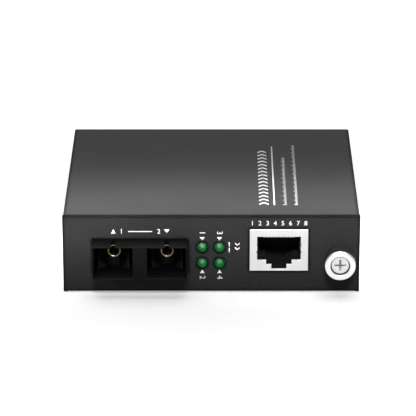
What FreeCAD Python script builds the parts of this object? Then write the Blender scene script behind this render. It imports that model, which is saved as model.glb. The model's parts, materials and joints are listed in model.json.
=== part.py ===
import FreeCAD, Part
import math
import os
import re
import Sketcher

# Fibre media converter card, millimetres.
# Frame: origin on the underside, at the middle of the case's width and depth.
# +X is to the right seen from the front panel, +Y runs from the panel to the rear, +Z is up.

V = FreeCAD.Vector
doc = FreeCAD.newDocument("fibre_media_converter")
sheet = doc.addObject("Spreadsheet::Sheet", "sizes")

# ---------------------------------------------------------------- driving dimensions

SIZES = [
    # the row of fittings along the front panel, from left to right
    ("edge_to_block", 8.3, "panel edge to optical block"),
    ("block_width", 26.2, "optical block"),
    ("block_to_lights", 6.4, "optical block to middle of the lights"),
    ("lights_to_jack", 10.73, "middle of the lights to copper jack"),
    ("jack_width", 16.1, "copper jack over its shield"),
    ("jack_to_screw", 8.74, "copper jack to screw axis"),
    ("screw_to_edge", 5.53, "screw axis to panel edge"),
    # sheet metal case
    ("panel_height", 22.4, "front panel"),
    ("case_depth", 72.0, "panel face to rear face"),
    ("tray_sheet", 1.0, "thickness of the tray's steel"),
    ("cover_sheet", 0.8, "thickness of the cover's steel"),
    ("cover_inset", 0.15, "cover side inside the panel edge"),
    ("cover_drop", 0.2, "cover top below the panel top"),
    ("cover_front_gap", 0.15, "panel back to cover"),
    ("cover_hem_gap", 0.3, "cover side above the underside"),
    ("case_play", 0.1, "tray inside cover"),
    ("lip_height", 9.6, "tray's side lip"),
    ("bend_outside", 0.5, "outer radius of a grooved bend"),
    ("bend_inside", 0.2, "inner radius of a bend"),
    ("corner_relief", 0.8, "gap at the end of a lip"),
    ("relief_depth", 1.6, "relief notch in the floor"),
    ("panel_edge_round", 0.25, "broken edge of the panel face"),
    ("vent_width", 1.6, "vent slot"),
    ("vent_height", 7.6, "vent slot"),
    ("vent_base", 11.4, "vent slot above the underside"),
    ("vent_pitch", 4.0, "vent slots"),
    ("vent_count", 8, "vent slots on a side"),
    # small fasteners
    ("small_shank", 1.25, "radius of a small screw"),
    ("small_head", 2.3, "radius of a small screw's head"),
    ("thread_play", 0.02, "screw in its thread, per side"),
    ("hole_play", 0.1, "screw in its clearance hole, per side"),
    ("cover_screw_reach", 1.0, "cover screw beyond the lip"),
    ("cover_screw_height", 7.2, "cover screw above the underside"),
    ("pan_height", 1.7, "board screw's head"),
    ("board_screw_length", 4.2, "board screw under its head"),
    # board and what carries it
    ("board_sheet", 1.6, "main board"),
    ("board_lift", 3.0, "standoff above the floor"),
    ("board_side_gap", 0.5, "board to tray lip"),
    ("board_front_gap", 0.5, "board to panel"),
    ("board_rear_gap", 1.5, "board to rear flange"),
    ("board_to_sleeve", 0.85, "board to screw sleeve"),
    ("standoff_flats", 4.6, "standoff across its flats"),
    ("post_to_block", 0.42, "standoff's screw head to optical block"),
    ("post_from_front", 23.8, "front standoff behind the panel face"),
    ("post_from_rear", 5.8, "rear standoffs ahead of the rear face"),
    ("post_from_edge", 2.9, "right standoffs inside the board's edge"),
    ("film_sheet", 0.25, "insulating film"),
    ("film_margin", 1.3, "insulating film inside the lips"),
    ("film_post_gap", 0.4, "insulating film round a standoff"),
    # duplex optical block
    ("block_height", 9.8, "optical block"),
    ("block_proud", 5.6, "optical block ahead of the panel"),
    ("block_depth", 17.0, "optical block, front to back"),
    ("port_width", 10.7, "optical port"),
    ("port_height", 8.7, "optical port"),
    ("port_pitch", 14.7, "optical ports"),
    ("port_depth", 10.1, "optical port"),
    ("port_chamfer", 0.25, "mouth of an optical port"),
    ("key_width", 1.3, "keyway in the port's roof"),
    ("port_wall", 1.5, "wall behind the ports"),
    ("collar_over", 0.8, "collar beyond the block"),
    ("collar_depth", 1.0, "collar behind the panel"),
    ("cutout_play", 0.1, "fitting in its panel cut-out"),
    ("ferrule_radius", 1.825, "ferrule sleeve"),
    ("ferrule_bore", 1.26, "radius of the ferrule sleeve's bore"),
    ("ferrule_mouth", 1.5, "radius of the bore's mouth"),
    ("mouth_depth", 0.3, "taper of the bore's mouth"),
    ("ferrule_sunk", 9.6, "ferrule sleeve behind the block's face"),
    ("ferrule_length", 4.9, "ferrule sleeve"),
    ("ferrule_play", 0.03, "sleeve in the port wall"),
    ("hook_plate", 0.6, "plate that carries the latch hooks"),
    ("hook_outer", 4.25, "latch hook's outer face from the port axis"),
    ("hook_inner", 2.15, "latch hook's barb from the port axis"),
    ("hook_arm", 1.0, "thickness of a latch hook"),
    ("hook_reach", 3.0, "latch hook ahead of its plate"),
    ("hook_slant", 1.7, "lead-in of a latch hook"),
    ("hook_barb", 0.4, "land behind the lead-in"),
    ("hook_play", 0.2, "hook plate inside the port"),
    # optical module behind the block
    ("module_depth", 26.0, "module housing"),
    ("module_inset", 0.5, "housing inside the block's side"),
    ("module_drop", 0.2, "housing below the block's top"),
    ("module_wall", 0.8, "housing wall"),
    ("carrier_sheet", 1.0, "module's own board"),
    ("carrier_lift", 4.4, "module's board above the main board"),
    ("carrier_gap", 0.3, "module's board inside its housing"),
    ("carrier_front", 2.8, "module's board behind the block"),
    ("pin_side", 0.5, "module pin, square"),
    ("pin_hole", 0.7, "pin's hole in the board, square"),
    ("pin_pitch", 2.54, "module pins"),
    ("pin_count", 9, "module pins"),
    ("pin_from_rear", 4.0, "module pins ahead of the housing's rear"),
    ("pin_below", 0.8, "pin below the board"),
    ("can_radius", 2.3, "optical can"),
    ("can_length", 3.2, "optical can"),
    ("can_lead", 0.4, "optical can's lead, square"),
    ("can_lead_pitch", 1.4, "optical can's leads"),
    ("can_lead_lap", 1.6, "lead over the module's board"),
    # shielded copper jack
    ("jack_height", 12.15, "jack over its shield"),
    ("jack_lift", 0.7, "jack above the board"),
    ("jack_depth", 21.0, "jack, front to back"),
    ("jack_proud", 0.3, "jack ahead of the panel"),
    ("shield_sheet", 0.25, "shield"),
    ("jack_play", 0.05, "insert in its shield"),
    ("socket_width", 12.05, "socket"),
    ("socket_height", 6.88, "socket above its step"),
    ("socket_floor", 3.2, "step above the jack's underside"),
    ("socket_depth", 10.5, "socket"),
    ("step_width", 7.06, "upper step of the latch slot"),
    ("step_drop", 1.25, "upper step of the latch slot"),
    ("slot_width", 4.18, "lower step of the latch slot"),
    ("slot_drop", 1.35, "lower step of the latch slot"),
    ("tab_height", 1.9, "shield spring"),
    ("tab_floor", 5.6, "shield spring above the jack's underside"),
    ("tab_bulge", 0.3, "shield spring into the socket"),
    ("tab_length", 5.0, "shield spring"),
    ("tab_slit", 0.35, "slit above and below a shield spring"),
    ("tab_room", 0.2, "room round a shield spring"),
    ("leg_width", 1.6, "shield's leg through the board"),
    ("leg_back", 9.2, "shield's legs behind its face"),
    ("leg_play", 0.2, "shield's leg in its slot"),
    ("foot_width", 1.6, "insert's foot on the board"),
    ("contact_count", 10, "jack contacts"),
    ("contact_pitch", 0.885, "jack contacts"),
    ("contact_width", 0.45, "jack contact"),
    ("contact_thick", 0.3, "jack contact"),
    ("contact_sunk", 0.7, "contact's bend behind the shield's face"),
    ("contact_roof", 0.8, "contact's upper run above the socket"),
    ("contact_reach", 7.2, "sloping leg of a contact"),
    ("contact_fall", 1.95, "fall of the sloping leg"),
    ("contact_tail", 5.0, "contact's tail ahead of the jack's rear"),
    ("recess_play", 0.15, "recess round the contacts"),
    ("tail_hole", 0.6, "contact's hole in the board, square"),
    # indicator lights
    ("light_columns", 4.78, "lights, side by side"),
    ("light_rows", 4.66, "lights, one above the other"),
    ("light_low", 8.46, "lower lights above the underside"),
    ("light_radius", 1.4, "light's lens"),
    ("light_proud", 1.2, "lens ahead of the panel"),
    ("light_tip", 0.8, "radius of the nose's crown"),
    ("light_crown", 0.25, "height of the nose's crown"),
    ("light_nose", 1.0, "height of the nose"),
    ("light_play", 0.12, "lens in its hole"),
    ("light_reach", 1.7, "light behind the panel"),
    ("holder_width", 10.4, "light holder"),
    ("holder_over", 2.4, "holder above the upper lights"),
    ("holder_depth", 6.8, "light holder"),
    ("lead_side", 0.5, "light's lead, square"),
    ("lead_pitch", 2.54, "leads of one light"),
    ("lead_play", 0.15, "lead in its slot"),
    ("lead_back", 1.2, "lower leads behind the holder"),
    ("lead_step", 2.0, "upper leads behind the lower ones"),
    # captive fixing screw
    ("screw_height", 9.55, "screw axis above the underside"),
    ("sleeve_radius", 4.2, "screw sleeve"),
    ("sleeve_proud", 5.1, "screw sleeve ahead of the panel"),
    ("sleeve_bore", 2.6, "radius of the sleeve's bore"),
    ("sleeve_shank", 3.2, "radius of the sleeve's shank"),
    ("sleeve_reach", 6.0, "shank behind the panel face"),
    ("sleeve_floor", 1.0, "floor of the bore"),
    ("ring_depth", 0.8, "bright face ring"),
    ("ring_chamfer", 0.25, "bright face ring"),
    ("screw_radius", 1.5, "screw's thread"),
    ("thread_length", 5.3, "screw's thread"),
    ("shaft_radius", 1.3, "screw's shaft"),
    ("screw_play", 0.15, "screw in the sleeve's floor"),
    ("head_radius", 2.35, "screw head"),
    ("head_length", 2.2, "screw head"),
    ("head_sunk", 0.6, "head inside the ring"),
    ("cross_span", 3.2, "cross recess"),
    ("cross_width", 0.8, "wing of the cross recess"),
    ("cross_depth", 1.2, "cross recess"),
    ("tip_out", 5.5, "screw beyond the rear face"),
    ("tip_chamfer", 0.5, "screw tip"),
    ("rear_hole_play", 0.3, "screw in the rear flange"),
    ("washer_radius", 2.5, "spring washer"),
    ("washer_sheet", 0.5, "spring washer"),
    ("washer_play", 0.1, "spring washer on the screw"),
    ("stack_gap", 0.05, "running gap in the screw's stack"),
    ("wire_radius", 0.25, "spring wire"),
    ("coil_radius", 2.05, "spring, to the middle of its wire"),
    ("coil_turns", 5, "spring"),
    ("coil_bends", 8, "straight stretches in a turn of the spring"),
    ("clip_radius", 2.6, "retaining clip"),
    ("clip_sheet", 0.6, "retaining clip"),
    # power inlet
    ("power_width", 9.0, "power inlet"),
    ("power_height", 11.0, "power inlet"),
    ("power_depth", 13.4, "power inlet"),
    ("power_gap", 0.1, "power inlet to rear flange"),
    ("power_to_post", 0.6, "power inlet to screw head"),
    ("nose_radius", 4.0, "inlet's round nose"),
    ("nose_length", 0.8, "inlet's round nose"),
    ("nose_play", 0.2, "nose in the rear flange"),
    ("bore_height", 6.5, "inlet's axis above the board"),
    ("bore_radius", 3.2, "inlet's bore"),
    ("bore_depth", 10.0, "inlet's bore"),
    ("centre_pin", 1.0, "radius of the inlet's pin"),
    ("pin_root", 1.6, "root behind the bore"),
    ("root_radius", 1.4, "root of the inlet's pin"),
    ("pin_short", 0.7, "pin inside the nose"),
    ("strap_width", 2.0, "inlet's solder strap"),
    ("strap_sheet", 0.4, "inlet's solder strap"),
    ("strap_play", 0.15, "strap in its slot"),
    ("blade_lift", 0.15, "side contact above the bore's floor"),
    ("blade_short", 1.5, "side contact inside the nose"),
    # parts on the board
    ("coil_box_wide", 17.0, "line transformer"),
    ("coil_box_deep", 10.4, "line transformer"),
    ("coil_box_tall", 6.2, "line transformer"),
    ("coil_box_x", 16.2, "line transformer"),
    ("coil_box_back", 2.6, "line transformer behind the jack"),
    ("coil_box_leads", 6, "leads on a side"),
    ("coil_box_pitch", 2.54, "line transformer's leads"),
    ("switch_side", 14.0, "switch chip"),
    ("switch_tall", 1.4, "switch chip"),
    ("switch_x", 1.0, "switch chip"),
    ("switch_y", 12.6, "switch chip"),
    ("switch_leads", 6, "leads on a side"),
    ("switch_pitch", 1.9, "switch chip's leads"),
    ("manager_side", 8.0, "management chip"),
    ("manager_tall", 1.4, "management chip"),
    ("manager_x", -18.5, "management chip"),
    ("manager_y", 11.6, "management chip"),
    ("manager_leads", 4, "leads on a side"),
    ("manager_pitch", 1.6, "management chip's leads"),
    ("memory_wide", 5.0, "memory chip"),
    ("memory_deep", 4.0, "memory chip"),
    ("memory_tall", 1.4, "memory chip"),
    ("memory_x", -31.0, "memory chip"),
    ("memory_y", 11.0, "memory chip"),
    ("chip_lift", 0.1, "chip above the board"),
    ("wing_out", 1.2, "chip lead, outwards"),
    ("wing_foot", 0.5, "foot of a chip lead"),
    ("wing_root", 0.5, "chip lead's root above the board"),
    ("wing_sheet", 0.2, "chip lead"),
    ("wing_width", 0.4, "chip lead"),
    ("pad_sheet", 0.3, "thermal pad"),
    ("pad_side", 12.0, "thermal pad"),
    ("sink_side", 16.0, "heat sink"),
    ("sink_base", 1.5, "heat sink"),
    ("sink_tall", 6.5, "heat sink over its fins"),
    ("fin_width", 0.9, "heat sink fin"),
    ("fin_count", 6, "heat sink fins"),
    ("crystal_wide", 11.0, "crystal"),
    ("crystal_deep", 4.6, "crystal"),
    ("crystal_tall", 3.5, "crystal"),
    ("crystal_x", 0.0, "crystal"),
    ("crystal_y", -12.0, "crystal"),
    ("drum_radius", 3.15, "bulk capacitor"),
    ("drum_tall", 11.0, "bulk capacitor"),
    ("drum_x", -17.5, "first bulk capacitor"),
    ("drum_pitch", 8.0, "bulk capacitors"),
    ("drum_y", 25.5, "bulk capacitors"),
    ("choke_side", 8.0, "power inductor"),
    ("choke_tall", 4.2, "power inductor"),
    ("choke_edge", 0.8, "power inductor's upper edge"),
    ("choke_x", 1.5, "power inductor"),
    ("choke_y", 26.6, "power inductor"),
    ("reg_wide", 6.5, "regulator"),
    ("reg_deep", 5.6, "regulator"),
    ("reg_tall", 2.3, "regulator"),
    ("reg_x", 16.0, "regulator"),
    ("reg_y", 24.0, "regulator"),
    ("reg_tab", 1.6, "regulator's tab"),
    ("reg_tab_sheet", 0.5, "regulator's tab"),
    ("passive_wide", 1.6, "chip resistor or capacitor"),
    ("passive_deep", 0.9, "chip resistor or capacitor"),
    ("passive_tall", 0.6, "chip resistor or capacitor"),
    ("passive_pitch", 2.4, "chip resistors in a row"),
    ("passive_count", 5, "chip resistors in a row"),
    ("passive_x", 13.0, "row of chip resistors"),
    ("passive_y", 8.0, "row of chip resistors"),
]

for line, (name, number, note) in enumerate(SIZES, start=1):
    sheet.set(f"A{line}", note)
    sheet.set(f"B{line}", str(number))
    sheet.setAlias(f"B{line}", name)
doc.recompute()

WORDS = re.compile(r"\b(" + "|".join(name for name, number, note in SIZES) + r")\b")

# ---------------------------------------------------------------- places worked out from them

# across the card
PANEL_WIDTH = (
    "(edge_to_block + block_width + block_to_lights + lights_to_jack"
    " + jack_width + jack_to_screw + screw_to_edge)"
)
PANEL_SIDE = f"({PANEL_WIDTH} / 2)"
BLOCK_LEFT = f"(edge_to_block - {PANEL_SIDE})"
BLOCK_RIGHT = f"({BLOCK_LEFT} + block_width)"
BLOCK_X = f"({BLOCK_LEFT} + block_width / 2)"
LIGHTS_X = f"({BLOCK_RIGHT} + block_to_lights)"
JACK_LEFT = f"({LIGHTS_X} + lights_to_jack)"
JACK_RIGHT = f"({JACK_LEFT} + jack_width)"
JACK_X = f"({JACK_LEFT} + jack_width / 2)"
SCREW_X = f"({PANEL_SIDE} - screw_to_edge)"
COVER_SIDE = f"({PANEL_SIDE} - cover_inset)"
COVER_INNER = f"({COVER_SIDE} - cover_sheet)"
LIP_OUT = f"({COVER_INNER} - case_play)"
LIP_IN = f"({LIP_OUT} - tray_sheet)"
BOARD_LEFT = f"(board_side_gap - {LIP_IN})"
BOARD_RIGHT = f"({SCREW_X} - sleeve_shank - board_to_sleeve)"
LEFT_POST_X = f"({BLOCK_LEFT} - post_to_block - small_head)"
RIGHT_POST_X = f"({BOARD_RIGHT} - post_from_edge)"
POST_CLEAR = "(standoff_flats * 0.6 + film_post_gap)"
POWER_X = f"({LEFT_POST_X} + small_head + power_to_post + power_width / 2)"
# front to back
FRONT = "(-case_depth / 2)"
REAR = "(case_depth / 2)"
PANEL_BACK = f"({FRONT} + tray_sheet)"
FLANGE_FACE = f"({REAR} - tray_sheet)"
COVER_FRONT = f"({PANEL_BACK} + cover_front_gap)"
BOARD_FRONT = f"({PANEL_BACK} + board_front_gap)"
BOARD_REAR = f"({FLANGE_FACE} - board_rear_gap)"
FRONT_POST_Y = f"({FRONT} + post_from_front)"
REAR_POST_Y = f"({REAR} - post_from_rear)"
BLOCK_FACE = f"({FRONT} - block_proud)"
BLOCK_BACK = f"({BLOCK_FACE} + block_depth)"
PORT_BACK = f"({BLOCK_FACE} + port_depth)"
PLATE_FACE = f"({PORT_BACK} - hook_plate)"
FERRULE_FACE = f"({BLOCK_FACE} + ferrule_sunk)"
FERRULE_END = f"({FERRULE_FACE} + ferrule_length)"
MODULE_REAR = f"({BLOCK_BACK} + module_depth)"
MODULE_PINS_Y = f"({MODULE_REAR} - pin_from_rear)"
JACK_FACE = f"({FRONT} - jack_proud)"
JACK_REAR = f"({JACK_FACE} + jack_depth)"
TAIL_Y = f"({JACK_REAR} - contact_tail)"
TAB_MIDDLE = f"({JACK_FACE} + tab_length / 2)"
TAB_END = f"({JACK_FACE} + tab_length)"
SHIELD_LEG_Y = f"({JACK_FACE} + leg_back)"
SHIELD_LEG_XS = (f"({JACK_LEFT} + shield_sheet / 2)", f"({JACK_RIGHT} - shield_sheet / 2)")
LENS_TIP = f"({FRONT} - light_proud)"
LIGHT_END = f"({PANEL_BACK} + light_reach)"
HOLDER_REAR = f"({LIGHT_END} + holder_depth)"
SLEEVE_FACE = f"({FRONT} - sleeve_proud)"
RING_BACK = f"({SLEEVE_FACE} + ring_depth)"
SLEEVE_END = f"({FRONT} + sleeve_reach)"
BORE_FLOOR = f"({SLEEVE_END} - sleeve_floor)"
HEAD_FACE = f"({SLEEVE_FACE} + head_sunk)"
HEAD_BACK = f"({HEAD_FACE} + head_length)"
WASHER_FACE = f"({HEAD_BACK} + stack_gap)"
WASHER_BACK = f"({WASHER_FACE} + washer_sheet)"
CLIP_FACE = f"({SLEEVE_END} + stack_gap)"
CLIP_BACK = f"({CLIP_FACE} + clip_sheet)"
TIP = f"({REAR} + tip_out)"
POWER_REAR = f"({FLANGE_FACE} - power_gap)"
POWER_FRONT = f"({POWER_REAR} - power_depth)"
NOSE_END = f"({POWER_REAR} + nose_length)"
BORE_END = f"({NOSE_END} - bore_depth)"
POWER_STRAP_Y = f"({BORE_END} - pin_root - strap_sheet)"
BLADE_STRAP_Y = f"({BORE_END} + strap_play)"
COIL_BOX_Y = f"({JACK_REAR} + coil_box_back + coil_box_deep / 2)"
# upwards
COVER_TOP = "(panel_height - cover_drop)"
COVER_ROOF = f"({COVER_TOP} - cover_sheet)"
FLANGE_TOP = f"({COVER_ROOF} - case_play)"
BOARD_BASE = "(tray_sheet + board_lift)"
BOARD_TOP = f"({BOARD_BASE} + board_sheet)"
BLOCK_TOP = f"({BOARD_TOP} + block_height)"
PORT_Z = f"({BOARD_TOP} + block_height / 2)"
PORT_FLOOR = f"({PORT_Z} - port_height / 2)"
PORT_ROOF = f"({PORT_Z} + port_height / 2)"
CARRIER_BASE = f"({BOARD_TOP} + carrier_lift)"
CARRIER_TOP = f"({CARRIER_BASE} + carrier_sheet)"
JACK_BASE = f"({BOARD_TOP} + jack_lift)"
JACK_TOP = f"({JACK_BASE} + jack_height)"
TAB_BASE = f"({JACK_BASE} + tab_floor)"
TAB_TOP = f"({TAB_BASE} + tab_height)"
SOCKET_FLOOR = f"({JACK_BASE} + socket_floor)"
SOCKET_ROOF = f"({SOCKET_FLOOR} + socket_height)"
LIGHT_ROW_Z = ("light_low", "(light_low + light_rows)")
PIN_TIP = f"({BOARD_BASE} - pin_below)"
POWER_Z = f"({BOARD_TOP} + bore_height)"
BLADE_Z = f"({POWER_Z} - bore_radius + blade_lift)"
CHIP_BASE = f"({BOARD_TOP} + chip_lift)"
SINK_BASE = f"({CHIP_BASE} + switch_tall + pad_sheet)"

PORTS = {"tx": f"({BLOCK_X} - port_pitch / 2)", "rx": f"({BLOCK_X} + port_pitch / 2)"}
POSTS = [(LEFT_POST_X, REAR_POST_Y), (RIGHT_POST_X, REAR_POST_Y), (RIGHT_POST_X, FRONT_POST_Y)]

# ---------------------------------------------------------------- drawing and building by formula


def bind(thing, prop, formula):
    """Tie one property to a formula written in the sheet's named sizes."""
    thing.setExpression(prop, WORDS.sub(r"sizes.\1", str(formula)))


def worth(formula):
    """The number that a formula in the sheet's named sizes has now."""
    return float(sheet.evalExpression(str(formula)))


def rectangle(across, up):
    """Four corners from the low and high ends along each sketch axis."""
    return [(across[0], up[0]), (across[1], up[0]), (across[1], up[1]), (across[0], up[1])]


def centred(middle, width):
    """The low and high ends of a width about a middle."""
    return f"({middle} - ({width}) / 2)", f"({middle} + ({width}) / 2)"


def cross(middle, span, width):
    """Twelve corners of an upright cross about a middle."""
    wide, slim = f"{span} / 2", f"{width} / 2"
    steps = [(slim, wide), (slim, slim), (wide, slim)]
    corners = []
    for across_sign, up_sign, order in ((1, 1, 1), (1, -1, -1), (-1, -1, 1), (-1, 1, -1)):
        for across, up in steps[::order]:
            corners.append((
                f"{middle[0]} + {across_sign} * {across}",
                f"{middle[1]} + {up_sign} * {up}",
            ))
    return corners


def hold(drawing, kind, item, point, formula):
    """Hold one point of a sketch item at a distance from the sketch's origin."""
    index = drawing.addConstraint(Sketcher.Constraint(kind, item, point, worth(formula)))
    bind(drawing, f"Constraints[{index}]", formula)


def draw_outline(drawing, corners):
    """Draw a closed outline of straight edges, with every corner held both ways."""
    spots = [V(worth(across), worth(up), 0) for across, up in corners]
    first = drawing.GeometryCount
    for start, end in zip(spots, spots[1:] + spots[:1]):
        drawing.addGeometry(Part.LineSegment(start, end), False)
    for place, (across, up) in enumerate(corners):
        following = first + (place + 1) % len(corners)
        drawing.addConstraint(Sketcher.Constraint("Coincident", first + place, 2, following, 1))
        hold(drawing, "DistanceX", first + place, 1, across)
        hold(drawing, "DistanceY", first + place, 1, up)


def draw_circle(drawing, middle, radius):
    """Draw a circle with its middle held both ways and its radius bound."""
    spot = V(worth(middle[0]), worth(middle[1]), 0)
    item = drawing.addGeometry(Part.Circle(spot, V(0, 0, 1), worth(radius)), False)
    hold(drawing, "DistanceX", item, 3, middle[0])
    hold(drawing, "DistanceY", item, 3, middle[1])
    index = drawing.addConstraint(Sketcher.Constraint("Radius", item, worth(radius)))
    bind(drawing, f"Constraints[{index}]", radius)


def draw(drawing, shapes):
    """Draw outlines, given as lists of corners, and circles, given as a middle and a radius."""
    for shape in shapes:
        if isinstance(shape, list):
            draw_outline(drawing, shape)
        else:
            draw_circle(drawing, *shape)


def sketch_on(body, name, role):
    """An empty sketch on one of the body's own origin planes."""
    drawing = body.newObject("Sketcher::SketchObject", name)
    plane = next(item for item in body.Origin.OriginFeatures if item.Role == role)
    drawing.AttachmentSupport = [(plane, "")]
    drawing.MapMode = "FlatFace"
    return drawing


# the origin plane square to each axis, and which way its normal points along that axis
PLANES = {"x": ("YZ_Plane", 1), "y": ("XZ_Plane", -1), "z": ("XY_Plane", 1)}


def extrude(body, kind, name, axis, shapes, low, high):
    """A Pad or Pocket of drawn shapes, from one place to another along an axis."""
    role, way = PLANES[axis]
    drawing = sketch_on(body, name + "_sketch", role)
    bind(drawing, ".AttachmentOffset.Base.z", f"{way} * ({low})")
    draw(drawing, shapes)
    feature = body.newObject("PartDesign::" + kind, name)
    feature.Profile = drawing
    bind(feature, "Length", f"({high}) - ({low})")
    feature.Reversed = (kind == "Pad") == (way < 0)
    return feature


# for each axis: the plane a turned outline is drawn on, the sketch axis it turns about,
# and where the plane's own three directions lie for a middle (a, b) on the other two axes
TURNING = {
    "x": ("XY_Plane", "H_Axis", lambda a, b: ("0", a, b)),
    "y": ("XY_Plane", "V_Axis", lambda a, b: (a, "0", b)),
    "z": ("XZ_Plane", "V_Axis", lambda a, b: (a, "0", f"-1 * ({b})")),
}


def turn(body, kind, name, axis, middle, outline):
    """A Revolution or Groove about an axis, from an outline of (radius, place along it)."""
    role, sketch_axis, spread = TURNING[axis]
    drawing = sketch_on(body, name + "_sketch", role)
    for direction, formula in zip("xyz", spread(*middle)):
        bind(drawing, f".AttachmentOffset.Base.{direction}", formula)
    corners = outline if sketch_axis == "V_Axis" else [(along, radius) for radius, along in outline]
    draw_outline(drawing, corners)
    feature = body.newObject("PartDesign::" + kind, name)
    feature.Profile = drawing
    feature.ReferenceAxis = (drawing, [sketch_axis])
    return feature


def chosen_edges(shape, test):
    """Names of the edges whose bounding box passes a test."""
    return [f"Edge{place}" for place, edge in enumerate(shape.Edges, start=1) if test(edge.BoundBox)]


def finish_edges(body, kind, name, size, test):
    """A Fillet or Chamfer on the edges of the body so far that pass a test."""
    doc.recompute()
    base = body.Tip
    feature = body.newObject("PartDesign::" + kind, name)
    feature.Base = (base, chosen_edges(base.Shape, test))
    bind(feature, "Radius" if kind == "Fillet" else "Size", size)
    return feature


def pattern(body, name, feature, axis, pitch, count):
    """Repeat a feature along an axis of the body."""
    doc.recompute()
    repeat = body.newObject("PartDesign::LinearPattern", name)
    role = axis.upper() + "_Axis"
    line = next(item for item in body.Origin.OriginFeatures if item.Role == role)
    repeat.Originals = [feature]
    repeat.Direction = (line, [""])
    bind(repeat, "Occurrences", count)
    bind(repeat, "Length", f"({pitch}) * (({count}) - 1)")
    body.Tip = repeat
    return repeat


def new_body(name):
    """An empty PartDesign body with its own label."""
    body = doc.addObject("PartDesign::Body", name)
    body.Label = name
    return body


def block(name, x, y, z):
    """A box primitive from its low and high faces along each axis."""
    made = doc.addObject("Part::Box", name)
    for side, direction, (low, high) in zip(("Length", "Width", "Height"), "xyz", (x, y, z)):
        bind(made, side, f"({high}) - ({low})")
        bind(made, f".Placement.Base.{direction}", low)
    return made


def rod(name, radius, y, x, z):
    """A cylinder primitive that runs along Y, between two places."""
    made = doc.addObject("Part::Cylinder", name)
    made.Placement.Rotation = FreeCAD.Rotation(V(1, 0, 0), -90)
    bind(made, "Radius", radius)
    bind(made, "Height", f"({y[1]}) - ({y[0]})")
    for direction, formula in zip("xyz", (x, y[0], z)):
        bind(made, f".Placement.Base.{direction}", formula)
    return made


def fused(name, pieces):
    """One solid from several."""
    made = doc.addObject("Part::MultiFuse", name)
    made.Shapes = pieces
    made.Refine = True
    made.Label = name
    return made


def copies(name, piece, places, turns=None):
    """A group of separate solids: the same piece set down at each place."""
    links = []
    for number, place in enumerate(places, start=1):
        link = doc.addObject("App::Link", f"{name}_{number}")
        link.LinkedObject = piece
        link.LinkTransform = True
        angle = turns[number - 1] if turns else 0
        link.Placement.Rotation = FreeCAD.Rotation(V(0, 0, 1), angle)
        for direction, formula in zip("xyz", place):
            bind(link, f".Placement.Base.{direction}", formula)
        links.append(link)
    made = doc.addObject("Part::Compound", name)
    made.Links = links
    made.Label = name
    return made


def row(middle, pitch, count):
    """The places of a row of like things about its middle."""
    total = round(worth(count))
    return [f"({middle} + ({place} - ({count} - 1) / 2) * {pitch})" for place in range(total)]


# ---------------------------------------------------------------- sheet metal case


def socket_outline():
    """The copper socket seen from the front: a wide mouth over a latch slot with two steps."""
    wide, step, slot = (centred(JACK_X, width) for width in ("socket_width", "step_width", "slot_width"))
    step_floor = f"({SOCKET_FLOOR} - step_drop)"
    slot_floor = f"({step_floor} - slot_drop)"
    return [
        (wide[0], SOCKET_FLOOR), (step[0], SOCKET_FLOOR), (step[0], step_floor), (slot[0], step_floor),
        (slot[0], slot_floor), (slot[1], slot_floor), (slot[1], step_floor), (step[1], step_floor),
        (step[1], SOCKET_FLOOR), (wide[1], SOCKET_FLOOR), (wide[1], SOCKET_ROOF), (wide[0], SOCKET_ROOF),
    ]


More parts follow.
